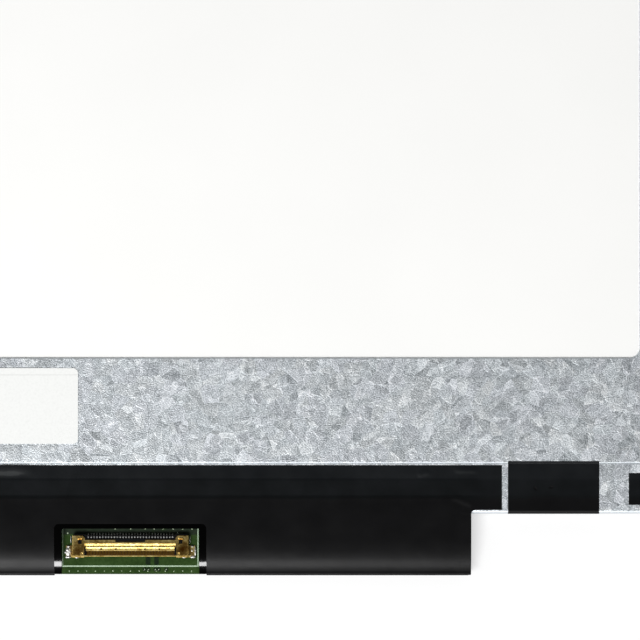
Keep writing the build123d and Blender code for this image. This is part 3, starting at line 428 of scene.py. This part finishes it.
dark_mask, tree, shader, place = finish("dark_solder_mask", 0.32, specular=0.4)
tint(tree, mottle(tree, place, 1500), shader.inputs["Base Color"],
     (0.3, colour(10, 26, 8)), (0.7, colour(18, 36, 14)))
tracks = start_piece("board_tracks")
for left, right in ((90.5, 91.34), (91.98, 92.76)):
    lay_bar(left, right, -120.12, -118.72, BOARD_BACK, TRACK_HEIGHT)
for x in RINGED_VIAS:
    lay_dot(x, RINGED_ROW, 0.36, BOARD_BACK, TRACK_HEIGHT, sides=16)
close_piece(tracks, dark_mask)

# Parts on the board
# Moulded chips, ferrite coils, tan ceramic capacitors and black chip resistors, soldered in one row.
# The black tape covers all of them.
chip_black, tree, shader, place = finish("chip_moulding", 0.55)
speck = mottle(tree, place, 6000, 3.0)
tint(tree, speck, shader.inputs["Base Color"], (0.3, colour(46, 46, 47)), (0.7, colour(62, 62, 63)))
relief(tree, speck, shader, 0.00001)
dress(chip_black, "timing_controller", "power_chip", "lamp_driver_chip", "memory_chip", "board_resistors")

ferrite, tree, shader, place = finish("grey_ferrite", 0.65)
tint(tree, mottle(tree, place, 4000, 3.0), shader.inputs["Base Color"],
     (0.3, colour(104, 104, 106)), (0.7, colour(130, 130, 132)))
dress(ferrite, "power_inductors")

tan_ceramic, tree, shader, place = finish("tan_ceramic", 0.4)
tint(tree, mottle(tree, place, 3000, 3.0), shader.inputs["Base Color"],
     (0.3, colour(174, 148, 116)), (0.7, colour(196, 170, 138)))
dress(tan_ceramic, "board_capacitors")

# Video connector
# Gold plated cover and contacts, pressed from thin bronze strip, round a black body. The floor of its mouth
# and the gold of the contacts in it are drawn dark brown as painted shade.
# Its ears and contact tails are soldered to the board, with bright fillets of solder round the feet.
CONNECTOR_X = 87.9
MOUTH = -118.82
FRONT_BAR = 0.3
THROAT_END = 1.5
THROAT_FLOOR = 0.32
TIN_START = 2.9
TIN_END = 3.1
EAR_X = 9.0
EAR_HOLE_X = 8.65


def dent(tree, place, x, y, length, width, turn):
    """Soft oblong spot on a film, 1 at its middle and 0 outside; turn is in degrees from the long side."""
    mapping = tree.nodes.new("ShaderNodeMapping")
    mapping.vector_type = "TEXTURE"
    mapping.inputs["Location"].default_value = (x * MM, y * MM, 0.0025)
    mapping.inputs["Rotation"].default_value = (0, 0, math.radians(turn))
    mapping.inputs["Scale"].default_value = (length / 2 * MM, width / 2 * MM, 0.01)
    tree.links.new(place, mapping.inputs["Vector"])
    spot = tree.nodes.new("ShaderNodeTexGradient")
    spot.gradient_type = "QUADRATIC_SPHERE"
    tree.links.new(mapping.outputs["Vector"], spot.inputs["Vector"])
    return spot.outputs["Fac"]


gold, tree, shader, place = finish("gold_plate", 0.31, 1.0)
wear_and_hole_shade = blend(
    tree,
    (mottle(tree, place, 900, 3.0), 0.5),
    (mottle(tree, place, 3200, 2.0), 0.5),
    (dent(tree, place, CONNECTOR_X - EAR_X, MOUTH + 1.3, 4.2, 4.6, 0), -0.4),
    (dent(tree, place, CONNECTOR_X + EAR_X, MOUTH + 1.3, 4.2, 4.6, 0), -0.4),
    # Painted shade in the holes of the ears; the other spots and clouds are wear of the plating
    (dent(tree, place, CONNECTOR_X - EAR_HOLE_X, MOUTH + 3.15, 1.4, 0.9, 0), -0.5),
    (dent(tree, place, CONNECTOR_X + EAR_HOLE_X, MOUTH + 3.15, 1.4, 0.9, 0), -0.5),
)
tint(tree, wear_and_hole_shade, shader.inputs["Base Color"], (0.1, colour(120, 76, 22)), (0.36, colour(178, 142, 74)),
     (0.5, colour(219, 192, 118)), (0.66, colour(240, 221, 156)))
along = axes(tree, place)
front = spread(tree, along["Y"], None, 1.0, 0.0, (MOUTH + FRONT_BAR) * MM, (MOUTH + FRONT_BAR + 0.06) * MM)
spread(tree, blend(tree, (wear_and_hole_shade, 1.0), (front, 0.8)), shader.inputs["Roughness"], 0.28, 0.5, 0.3, 1.3)
relief(tree, mottle(tree, place, 1500, 2.0), shader, 0.000006)
dress(gold, "connector_shell")

contact_metal, tree, shader, place = finish("contact_plating", 0.32, 1.0)
along = axes(tree, place)
tail = spread(tree, along["Y"], None, 0.0, 1.0, (MOUTH + TIN_START) * MM, (MOUTH + TIN_END) * MM)
# Painted shade: the gold of the contacts, seen only inside the mouth, is drawn dark brown; the tails keep
# the colour of their tin
tint(tree, blend(tree, (tail, 0.8), (mottle(tree, place, 4000), 0.2)), shader.inputs["Base Color"],
     (0.05, colour(112, 80, 30)), (0.15, colour(130, 98, 42)), (0.85, colour(206, 207, 204)),
     (0.95, colour(236, 237, 234)))
spread(tree, tail, shader.inputs["Roughness"], 0.34, 0.5)
dress(contact_metal, "connector_contacts")

body_black, tree, shader, place = finish("connector_moulding", 0.5, specular=0.1)
along = axes(tree, place)
# Painted shade: the floor of the mouth is drawn dark brown, as gold lying in shade
painted_mouth_shade = where(
    tree,
    spread(tree, along["Y"], None, 1.0, 0.0, (MOUTH + THROAT_END) * MM, (MOUTH + THROAT_END + 0.1) * MM),
    spread(tree, along["Z"], None, 1.0, 0.0,
           (BOARD_BACK + THROAT_FLOOR) * MM, (BOARD_BACK + THROAT_FLOOR + 0.04) * MM),
)
tint(tree, blend(tree, (mottle(tree, place, 4000), 0.4), (painted_mouth_shade, 0.6)), shader.inputs["Base Color"],
     (0.1, colour(6, 6, 7)), (0.3, colour(11, 11, 12)), (0.7, colour(62, 43, 15)),
     (0.9, colour(84, 60, 24)))
dress(body_black, "connector_housing")

# Solder
# Bright soft solder, printed as paste and melted, which has drawn up round the toes of the contacts
# and in thicker lumps over the feet of the two ears.
CONTACT_PITCH = 0.5
CONTACT_COUNT = 30
TOE_FRONT = 3.78
TOE_BACK = 4.3
TOE_WIDTH = 0.24
TOE_HEIGHT = 0.36


def lay_mound(x, y, length, depth, level, height):
    """Low mound on an oblong base, stepped in towards its top."""
    bpy.ops.mesh.select_all(action="DESELECT")
    middle = (x * MM, y * MM, level * MM)
    bpy.ops.mesh.primitive_plane_add(size=MM, location=middle)
    bpy.ops.transform.resize(value=(length, depth, 1), center_override=middle)
    for rise, keep in ((0.5, 0.92), (0.35, 0.76), (0.15, 0.6)):
        bpy.ops.mesh.extrude_region_move(TRANSFORM_OT_translate={"value": (0, 0, rise * height * MM)})
        bpy.ops.transform.resize(value=(keep, keep, 1), center_override=middle)


def lay_ramp(x, low, high, width, level, height):
    """Fillet at the toe of a contact, steep at its front and running out behind."""
    bpy.ops.mesh.select_all(action="DESELECT")
    middle = (x * MM, (low + high) / 2 * MM, level * MM)
    front = (x * MM, low * MM, level * MM)
    bpy.ops.mesh.primitive_plane_add(size=MM, location=middle)
    bpy.ops.transform.resize(value=(width, high - low, 1), center_override=middle)
    for rise, narrow, draw in ((0.35, 0.9, 0.8), (0.35, 0.85, 0.55), (0.3, 0.8, 0.3)):
        bpy.ops.mesh.extrude_region_move(TRANSFORM_OT_translate={"value": (0, 0, rise * height * MM)})
        bpy.ops.transform.resize(value=(narrow, draw, 1), center_override=front)


solder_metal, tree, shader, place = finish("soft_solder", 0.4, 0.9)
frosted = mottle(tree, place, 4200, 3.0)
tint(tree, frosted, shader.inputs["Base Color"],
     (0.34, colour(150, 148, 142)), (0.66, colour(238, 238, 234)))
spread(tree, frosted, shader.inputs["Roughness"], 0.3, 0.52)
relief(tree, frosted, shader, 0.00008)
solder = start_piece("solder_fillets")
for index in range(CONTACT_COUNT):
    x = CONNECTOR_X + (index - (CONTACT_COUNT - 1) / 2) * CONTACT_PITCH
    lay_ramp(x, MOUTH + TOE_FRONT, MOUTH + TOE_BACK, TOE_WIDTH, BOARD_BACK, TOE_HEIGHT)
lay_mound(CONNECTOR_X - 10.7, MOUTH + 1.0, 1.3, 2.1, BOARD_BACK, 0.3)
lay_mound(CONNECTOR_X + 11.15, MOUTH + 1.0, 0.44, 2.1, BOARD_BACK, 0.3)
lay_mound(CONNECTOR_X + 10.6, MOUTH + 1.15, 0.4, 0.6, BOARD_BACK, 0.26)
for side in (-1, 1):
    lay_mound(CONNECTOR_X + side * 10.75, MOUTH + 0.05, 1.3, 0.6, BOARD_BACK, 0.4)
    lay_mound(CONNECTOR_X + side * 11.15, MOUTH + 0.85, 0.5, 0.7, BOARD_BACK, 0.36)
    lay_mound(CONNECTOR_X + side * 10.65, MOUTH + 1.85, 0.8, 0.36, BOARD_BACK, 0.34)
    lay_mound(CONNECTOR_X + side * 9.2, MOUTH - 0.06, 0.9, 0.34, BOARD_BACK, 0.26)
    lay_mound(CONNECTOR_X + side * 10.25, MOUTH + 3.05, 0.22, 1.7, BOARD_BACK, 0.12)
bpy.ops.object.mode_set(mode="OBJECT")
swell = solder.modifiers.new("swell", "SUBSURF")
swell.levels = 1
swell.render_levels = 1
bpy.ops.object.modifier_apply(modifier=swell.name)
bpy.ops.object.mode_set(mode="EDIT")
close_piece(solder, solder_metal, 80)
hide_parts("solder_joints")

# Films and tapes over the board
# The liner is a glossy black polyester film, held on the ledge by an adhesive strip and laid on the board.
# It is cut out round the connector, where its edge and its gloss show inside the cut-out of the tape.
LEDGE_BACK = 2.78
COVER_LEVEL = 2.87
LINER_THICKNESS = 0.05
BOARD_HALF_LENGTH = 146.2
BOARD_BOTTOM = -121.74
LINER_EDGE = -105.71
STRIP_HIGH = -108.87
STRIP_FOOT = -107.97
# Where the film sags from the frame to the board: place along Y and slope in degrees
SAG = [(-112.2, 0.0), (-115.8, 2.0), (-117.5, 6.5), (-118.87, 13.0), (-120.02, 21.5), (-121.33, 8.0)]
SAG_START = SAG[0][0]
LINER_WINDOW_LEFT = 76.08
LINER_WINDOW_RIGHT = 99.72
LINER_WINDOW_TOP = -113.87


def drape(stations, steps=12):
    """Points (y, z) of a film: straight where it keeps its level, two equal arcs where that changes."""
    path = [stations[0]]
    for (start_y, start_z), (end_y, end_z) in zip(stations, stations[1:]):
        run = end_y - start_y
        rise = end_z - start_z
        if rise:
            bend = 2 * math.atan2(abs(rise), abs(run))
            arc = [
                (
                    math.sin(bend * step / steps) / math.sin(bend) / 2,
                    (1 - math.cos(bend * step / steps)) / (1 - math.cos(bend)) / 2,
                )
                for step in range(1, steps + 1)
            ]
            path += [(start_y + run * y, start_z + rise * z) for y, z in arc]
            path += [(end_y - run * y, end_z - rise * z) for y, z in reversed(arc[:-1])]
        path.append((end_y, end_z))
    return path


def sag(high, low, steps=10):
    """Points (y, z) of a film that sags from one level to another with the slopes above."""
    points, fall = [], 0.0
    for (from_y, from_slope), (to_y, to_slope) in zip(SAG, SAG[1:]):
        for step in range(steps):
            slope = from_slope + (to_slope - from_slope) * (step + 0.5) / steps
            fall += math.tan(math.radians(slope)) * (from_y - to_y) / steps
            points.append((from_y + (to_y - from_y) * (step + 1) / steps, fall))
    return [(y, high - (high - low) * part / fall) for y, part in points]


def draw_film(name, path, left, right):
    """Film drawn along a path by extruding its edge from point to point."""
    piece = start_piece(name)
    (first_y, first_z), rest = path[0], path[1:]
    middle = ((left + right) / 2 * MM, first_y * MM, first_z * MM)
    bpy.ops.mesh.primitive_plane_add(size=MM, location=middle)
    bpy.ops.transform.resize(value=(right - left, 0, 1), center_override=middle)
    bpy.ops.mesh.remove_doubles(threshold=MM * MM)
    bpy.ops.mesh.select_all(action="SELECT")
    for (from_y, from_z), (to_y, to_z) in zip(path, rest):
        step = (0, (to_y - from_y) * MM, (to_z - from_z) * MM)
        bpy.ops.mesh.extrude_edges_move(TRANSFORM_OT_translate={"value": step})
    return piece


def pick(test):
    """Selects the faces whose middle, in millimetres, passes the test."""
    mesh = bmesh.from_edit_mesh(bpy.context.edit_object.data)
    bpy.ops.mesh.select_all(action="DESELECT")
    for face in mesh.faces:
        if test(*(face.calc_center_median() / MM)):
            face.select_set(True)
    bmesh.update_edit_mesh(bpy.context.edit_object.data)


def cut(test, point, direction):
    """Cuts the faces that pass the test along a plane."""
    pick(test)
    bpy.ops.mesh.bisect(plane_co=[value * MM for value in point], plane_no=direction)


def corner_planes(sign, corner, steps=5):
    """Directions and distance of the flat cuts that stand for a rounded corner of an opening."""
    half = math.radians(90 / steps / 2)
    angles = [half * (2 * step + 1) for step in range(steps)]
    return [(sign * math.sin(angle), math.cos(angle)) for angle in angles], corner * math.cos(half)


def round_corner(centre_x, centre_y, corner, sign):
    """Cuts the round of an opening's upper corner into a film."""
    facings, reach = corner_planes(sign, corner)
    for facing_x, facing_y in facings:
        cut(
            lambda x, y, z: 0 < (x - centre_x) * sign < corner and 0 < y - centre_y < corner,
            (centre_x + facing_x * reach, centre_y + facing_y * reach, 0),
            (facing_x, facing_y, 0),
        )


def in_corner(x, y, centre_x, centre_y, corner, sign):
    """Whether a point in the square of a corner is on the open side of its round."""
    facings, reach = corner_planes(sign, corner)
    return all(
        (x - centre_x) * facing_x + (y - centre_y) * facing_y < reach for facing_x, facing_y in facings
    )


def cut_out(left, right, top, corner):
    """Opening with rounded upper corners, from the lower edge of a film up to its top."""
    for side in (left, right):
        cut(lambda x, y, z: True, (side, 0, 0), (1, 0, 0))
    cut(lambda x, y, z: left < x < right, (0, top, 0), (0, 1, 0))
    centres = ((left + corner, -1), (right - corner, 1))
    if corner:
        for centre, sign in centres:
            cut(lambda x, y, z: left < x < right and y < top, (centre, 0, 0), (1, 0, 0))
        cut(lambda x, y, z: left < x < right and y < top, (0, top - corner, 0), (0, 1, 0))
        for centre, sign in centres:
            round_corner(centre, top - corner, corner, sign)

    def within(x, y, z):
        if not (left < x < right and y < top):
            return False
        for centre, sign in centres:
            if (x - centre) * sign > 0 and y > top - corner:
                return in_corner(x, y, centre, top - corner, corner, sign)
        return True

    pick(within)
    bpy.ops.mesh.delete(type="FACE")


def thicken(piece, thickness):
    """Gives a film its thickness, outwards from the face it lies on."""
    bpy.ops.object.mode_set(mode="OBJECT")
    solid = piece.modifiers.new("thickness", "SOLIDIFY")
    solid.thickness = thickness * MM
    solid.offset = 1.0
    solid.use_even_offset = True
    bpy.ops.object.modifier_apply(modifier=solid.name)
    bpy.ops.object.mode_set(mode="EDIT")


gloss_film, tree, shader, place = finish("glossy_liner", 0.1, specular=0.4)
tint(tree, mottle(tree, place, 300), shader.inputs["Base Color"],
     (0.3, colour(1, 1, 1)), (0.7, colour(2, 2, 2)))
spread(tree, mottle(tree, place, 700, 3.0), shader.inputs["Roughness"], 0.08, 0.13)
liner = draw_film(
    "liner_film",
    drape([
        (LINER_EDGE, LEDGE_BACK),
        (STRIP_FOOT, LEDGE_BACK),
        (STRIP_HIGH, COVER_LEVEL),
        (SAG_START, COVER_LEVEL),
    ])
    + sag(COVER_LEVEL, BOARD_BACK)
    + [(BOARD_BOTTOM, BOARD_BACK)],
    -BOARD_HALF_LENGTH,
    BOARD_HALF_LENGTH,
)
cut_out(LINER_WINDOW_LEFT, LINER_WINDOW_RIGHT, LINER_WINDOW_TOP, 0)
bpy.ops.mesh.select_all(action="SELECT")
bpy.ops.mesh.normals_make_consistent(inside=False)
thicken(liner, LINER_THICKNESS)
close_piece(liner, gloss_film)
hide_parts("window_liner")

# Cover tape
# Satin black polyester tape over the liner and the ledge, pressed down by hand and folded round the board.
# It shows the edges of what lies under it as soft creases, and small wrinkles where it was laid.
COVER_THICKNESS = 0.07
COVER_STEP = 0.6
COVER_HALF_LENGTH = 146.48
FLAP_END = 151.73
FLAP_SLOPE = 1.6
FLAP_EDGE = -110.65
COVER_EDGE = -103.0
FLAP_CORNER = 0.7
FOLD_INSIDE = -121.9
FOLD_BEND = 0.32
NIP_LENGTH = 0.7
NIP_DEPTH = 0.3
WRAP_END = -119.54
BOARD_FRONT = 0.95
COVER_WINDOW_LEFT = 74.82
COVER_WINDOW_RIGHT = 100.98
COVER_WINDOW_TOP = -113.05
COVER_WINDOW_CORNER = 0.8
ROW_STEP = 0.2
ROW_COUNT = 45
COLUMN_STEP = 0.28


def fold(upper, lower, steps=6):
    """Points (y, z) of the tape's fold round the lower edge of the board, with its two bends."""
    turn = [math.radians(90 * step / steps) for step in range(steps + 1)]
    middle = FOLD_INSIDE + FOLD_BEND
    over = [(middle - FOLD_BEND * math.sin(t), upper - FOLD_BEND * (1 - math.cos(t))) for t in turn]
    under = [(middle - FOLD_BEND * math.cos(t), lower + FOLD_BEND * (1 - math.sin(t))) for t in turn]
    return over + under


def ridge(x, y, middle_x, middle_y, length, width, turn):
    """Soft ridge over a point of the film: 1 along its crest and 0 at its rim; turn is in degrees."""
    angle = math.radians(turn)
    away_x, away_y = x - middle_x, y - middle_y
    along = abs(away_x * math.cos(angle) + away_y * math.sin(angle)) / (length / 2)
    across = abs(away_y * math.cos(angle) - away_x * math.sin(angle)) / (width / 2)
    if along > 1 or across > 1:
        return 0.0
    return (1 + math.cos(math.pi * along ** 3)) * (1 + math.cos(math.pi * across)) / 4


def raise_wrinkles(piece, wrinkles):
    """Lifts a film along soft ridges, each with its middle, length, width, turn and height."""
    bpy.ops.object.mode_set(mode="OBJECT")
    highest = max(height for *_, height in wrinkles)
    lifted = piece.vertex_groups.new(name="wrinkles")
    for corner in piece.data.vertices:
        x, y = corner.co.x / MM, corner.co.y / MM
        lift = sum(ridge(x, y, *shape) * height for *shape, height in wrinkles)
        if lift and corner.co.z > BOARD_BACK * MM:
            lifted.add([corner.index], min(lift / highest, 1.0), "REPLACE")
    pull = piece.modifiers.new("wrinkles", "DISPLACE")
    pull.direction = "Z"
    pull.mid_level = 0.0
    pull.strength = highest * MM
    pull.vertex_group = lifted.name
    bpy.ops.object.modifier_apply(modifier=pull.name)
    bpy.ops.object.mode_set(mode="EDIT")


satin_tape, tree, shader, place = finish("satin_tape", 0.42, specular=0.15)
haze = mottle(tree, place, 240, 4.0)
along = axes(tree, place)
stuck = spread(tree, along["Y"], None, 0.0, 1.0, (STRIP_HIGH - 0.4) * MM, STRIP_FOOT * MM)
bare = spread(tree, along["Y"], None, 0.0, 1.0, LINER_EDGE * MM, (LINER_EDGE + COVER_STEP) * MM)
# Painted shade in two dents of the lamp-end tape, and a painted highlight on the lit slope of the long
# bulge near the left of the cover
painted_dent_shade_and_bulge_highlight = blend(tree, (dent(tree, place, 157.5, -106.95, 1.4, 1.0, -50), -0.6),
                (dent(tree, place, 160.2, -106.75, 1.5, 0.9, 15), -0.6),
                (dent(tree, place, 67.4, -104.4, 12.0, 1.8, 1), 0.42))
shade = blend(tree, (haze, 0.5), (stuck, 0.35), (bare, 0.2), (painted_dent_shade_and_bulge_highlight, 1.0))
tint(tree, shade, shader.inputs["Base Color"], (0.0, colour(4, 4, 5)), (0.15, colour(10, 10, 11)),
     (0.35, colour(13, 13, 14)), (0.5, colour(13, 15, 16)), (0.7, colour(18, 20, 22)),
     (0.9, colour(24, 26, 28)), (1.0, colour(44, 46, 47)))
spread(tree, haze, shader.inputs["Roughness"], 0.3, 0.42)
dents = blend(
    tree,
    (mottle(tree, place, 130, 3.0), 0.5),
    (mottle(tree, place, 4200, 2.0), 0.03),
    (dent(tree, place, 157.5, -106.95, 1.2, 0.8, -50), -0.4),
    (dent(tree, place, 160.2, -106.75, 1.3, 0.7, 15), -0.4),
)
relief(tree, dents, shader, 0.00012)
cover = draw_film(
    "cover_tape",
    drape([
        (COVER_EDGE, LEDGE_BACK),
        (LINER_EDGE + COVER_STEP, LEDGE_BACK),
        (LINER_EDGE, LEDGE_BACK + LINER_THICKNESS),
        (STRIP_FOOT, LEDGE_BACK + LINER_THICKNESS),
        (STRIP_HIGH, COVER_LEVEL + LINER_THICKNESS),
        (SAG_START, COVER_LEVEL + LINER_THICKNESS),
    ])
    + sag(COVER_LEVEL + LINER_THICKNESS, BOARD_BACK + LINER_THICKNESS)
    + fold(BOARD_BACK + LINER_THICKNESS, BOARD_FRONT)
    + [(WRAP_END, BOARD_FRONT)],
    -COVER_HALF_LENGTH,
    COVER_HALF_LENGTH,
)
cut_out(COVER_WINDOW_LEFT, COVER_WINDOW_RIGHT, COVER_WINDOW_TOP, COVER_WINDOW_CORNER)
for level in (FLAP_EDGE, FLAP_EDGE - FLAP_CORNER):
    cut(lambda x, y, z: z > LEDGE_BACK - 0.1, (0, level, 0), (0, 1, 0))
for side in (-1, 1):
    mesh = bmesh.from_edit_mesh(cover.data)
    bpy.ops.mesh.select_all(action="DESELECT")
    for edge in mesh.edges:
        at_end = all(abs(corner.co.x / MM - side * COVER_HALF_LENGTH) < 0.001 for corner in edge.verts)
        if at_end and all(corner.co.y / MM > FLAP_EDGE - FLAP_CORNER - 0.001 for corner in edge.verts):
            edge.select_set(True)
    bmesh.update_edit_mesh(cover.data)
    bpy.ops.mesh.extrude_edges_move(TRANSFORM_OT_translate={"value": (side * FLAP_SLOPE * MM, 0, 0)})
    bpy.ops.transform.resize(value=(1, 1, 0), center_override=(0, 0, LEDGE_BACK * MM))
    flat = (FLAP_END - COVER_HALF_LENGTH - FLAP_SLOPE) * side * MM
    bpy.ops.mesh.extrude_edges_move(TRANSFORM_OT_translate={"value": (flat, 0, 0)})
    # Rounded inner corner under the flap
    centre_x = side * (COVER_HALF_LENGTH + FLAP_CORNER)
    centre_y = FLAP_EDGE - FLAP_CORNER
    cut(lambda x, y, z: y < FLAP_EDGE and x * side > COVER_HALF_LENGTH, (centre_x, 0, 0), (1, 0, 0))
    round_corner(centre_x, centre_y, FLAP_CORNER, -side)
    pick(
        lambda x, y, z: y < FLAP_EDGE
        and x * side > COVER_HALF_LENGTH
        and (x * side > centre_x * side or in_corner(x, y, centre_x, centre_y, FLAP_CORNER, -side))
    )
    bpy.ops.mesh.delete(type="FACE")
    # Nipped corner at the end of the fold
    outside = FOLD_INSIDE - COVER_THICKNESS
    at = (side * COVER_HALF_LENGTH, outside + NIP_DEPTH, 0)

    def near(x, y, z):
        return x * side > COVER_HALF_LENGTH - 40 and y < outside + 1.0

    cut(near, at, (side * NIP_DEPTH, -NIP_LENGTH, 0))
    pick(
        lambda x, y, z: near(x, y, z)
        and (x - at[0]) * side * NIP_DEPTH - (y - at[1]) * NIP_LENGTH > 0
    )
    bpy.ops.mesh.delete(type="FACE")
bpy.ops.mesh.select_all(action="SELECT")
bpy.ops.mesh.remove_doubles(threshold=MM * MM)
bpy.ops.mesh.normals_make_consistent(inside=False)
# Wrinkles left where the tape was pressed down
for row in range(1, ROW_COUNT + 1):
    bpy.ops.mesh.select_all(action="SELECT")
    bpy.ops.mesh.bisect(plane_co=(0, (COVER_EDGE - ROW_STEP * row) * MM, 0), plane_no=(0, 1, 0))
for first, count in ((63.0, 56), (136.0, 44)):
    for column in range(count):
        bpy.ops.mesh.select_all(action="SELECT")
        bpy.ops.mesh.bisect(plane_co=((first + COLUMN_STEP * column) * MM, 0, 0), plane_no=(1, 0, 0))
raise_wrinkles(cover, [
    (66.0, -103.1, 12.0, 4.2, 1, 0.21),
    (77.2, -106.6, 7.0, 0.8, 78, 0.02),
    (138.3, -104.4, 2.4, 1.5, 15, 0.09),
    (139.3, -103.9, 2.6, 0.7, 45, 0.03),
    (145.6, -103.8, 4.6, 1.6, 0, 0.1),
    (145.1, -109.1, 4.4, 1.7, -22, 0.06),
    (145.8, -111.1, 2.4, 0.6, 0, 0.02),
])
thicken(cover, COVER_THICKNESS)
close_piece(cover, satin_tape)
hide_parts("board_cover_tape")

# Small tapes
# The same satin tape in short lengths: over the end of the lamp strip, at the corner of the ledge,
# and along the display side over the driver films.
dress(satin_tape, "lamp_end_tape", "corner_tape", "driver_cover_tape")

# Label
# Blank white paper label with rounded corners, stuck to the lower strip of the rear frame.
# A faint crease runs along it a little below its upper edge, drawn as a line of painted shade.
paper, tree, shader, place = finish("label_paper", 0.5, specular=0.3)
fibre = mottle(tree, place, 2500, 4.0)
painted_crease_shade = dent(tree, place, 34.0, -87.45, 400.0, 0.5, 0)
tint(tree, blend(tree, (fibre, 0.5), (painted_crease_shade, -0.5)), shader.inputs["Base Color"],
     (0.0, colour(228, 229, 227)), (0.22, colour(238, 239, 237)), (0.3, colour(240, 241, 239)))
relief(tree, fibre, shader, 0.000008)
dress(paper, "product_label")

# Studio
# White floor under the panel, one long soft box over its lower left and a pale room with a dark ceiling.
# The camera looks straight down on the lower right part of the back.
FLOOR_SIZE = 6
FLOOR_LEVEL = -0.00002
FLOOR_GLOW = 0.6
GLOW_RAYS = ("Is Camera Ray", "Is Glossy Ray", "Is Transmission Ray")
ROOM_GREYS = ((0.0, 0.9), (0.5, 0.6), (0.7, 0.1), (1.0, 0.02))
LIGHT_AIM = (0.12, -0.1, 0.0)
bpy.ops.mesh.primitive_plane_add(size=FLOOR_SIZE, location=(0, 0, FLOOR_LEVEL))
floor = bpy.context.object
floor.name = "floor"
white_floor, tree, shader, place = finish("white_floor", 0.9, specular=0.0)
tint(tree, mottle(tree, place, 3), shader.inputs["Base Color"],
     (0.3, (0.97, 0.97, 0.97, 1)), (0.7, (0.98, 0.98, 0.98, 1)))
rays = tree.nodes.new("ShaderNodeLightPath")
glow = tree.nodes.new("ShaderNodeEmission")
seen = blend(tree, *((rays.outputs[kind], FLOOR_GLOW) for kind in GLOW_RAYS))
paper_white = tree.nodes.new("ShaderNodeMixShader")
tree.links.new(seen, paper_white.inputs["Fac"])
tree.links.new(shader.outputs["BSDF"], paper_white.inputs[1])
tree.links.new(glow.outputs["Emission"], paper_white.inputs[2])
tree.links.new(paper_white.outputs["Shader"], tree.nodes["Material Output"].inputs["Surface"])
floor.data.materials.append(white_floor)

room = bpy.data.worlds.new("room")
bpy.context.scene.world = room
room.use_nodes = True
tree = room.node_tree
direction = tree.nodes.new("ShaderNodeTexCoord").outputs["Generated"]
tint(tree, axes(tree, direction)["Z"], tree.nodes["Background"].inputs["Color"],
     *((height, (grey, grey, grey, 1)) for height, grey in ROOM_GREYS))

box_light = bpy.data.lights.new("soft_box", "AREA")
box_light.shape = "RECTANGLE"
box_light.size = 1.05
box_light.size_y = 0.26
box_light.energy = 20.7
soft_box = bpy.data.objects.new("soft_box", box_light)
bpy.context.collection.objects.link(soft_box)
soft_box.location = (-0.37, -0.86, 0.955)
aim = Vector(LIGHT_AIM) - soft_box.location
soft_box.rotation_euler = aim.to_track_quat("-Z", "Y").to_euler()

lens = bpy.data.cameras.new("camera")
lens.lens = 200
lens.sensor_width = 36
lens.clip_start = 0.05
lens.clip_end = 20
camera = bpy.data.objects.new("camera", lens)
bpy.context.collection.objects.link(camera)
camera.location = (0.1205, -0.07803, 0.6134)
bpy.context.scene.camera = camera
bpy.context.scene.view_settings.view_transform = "Standard"
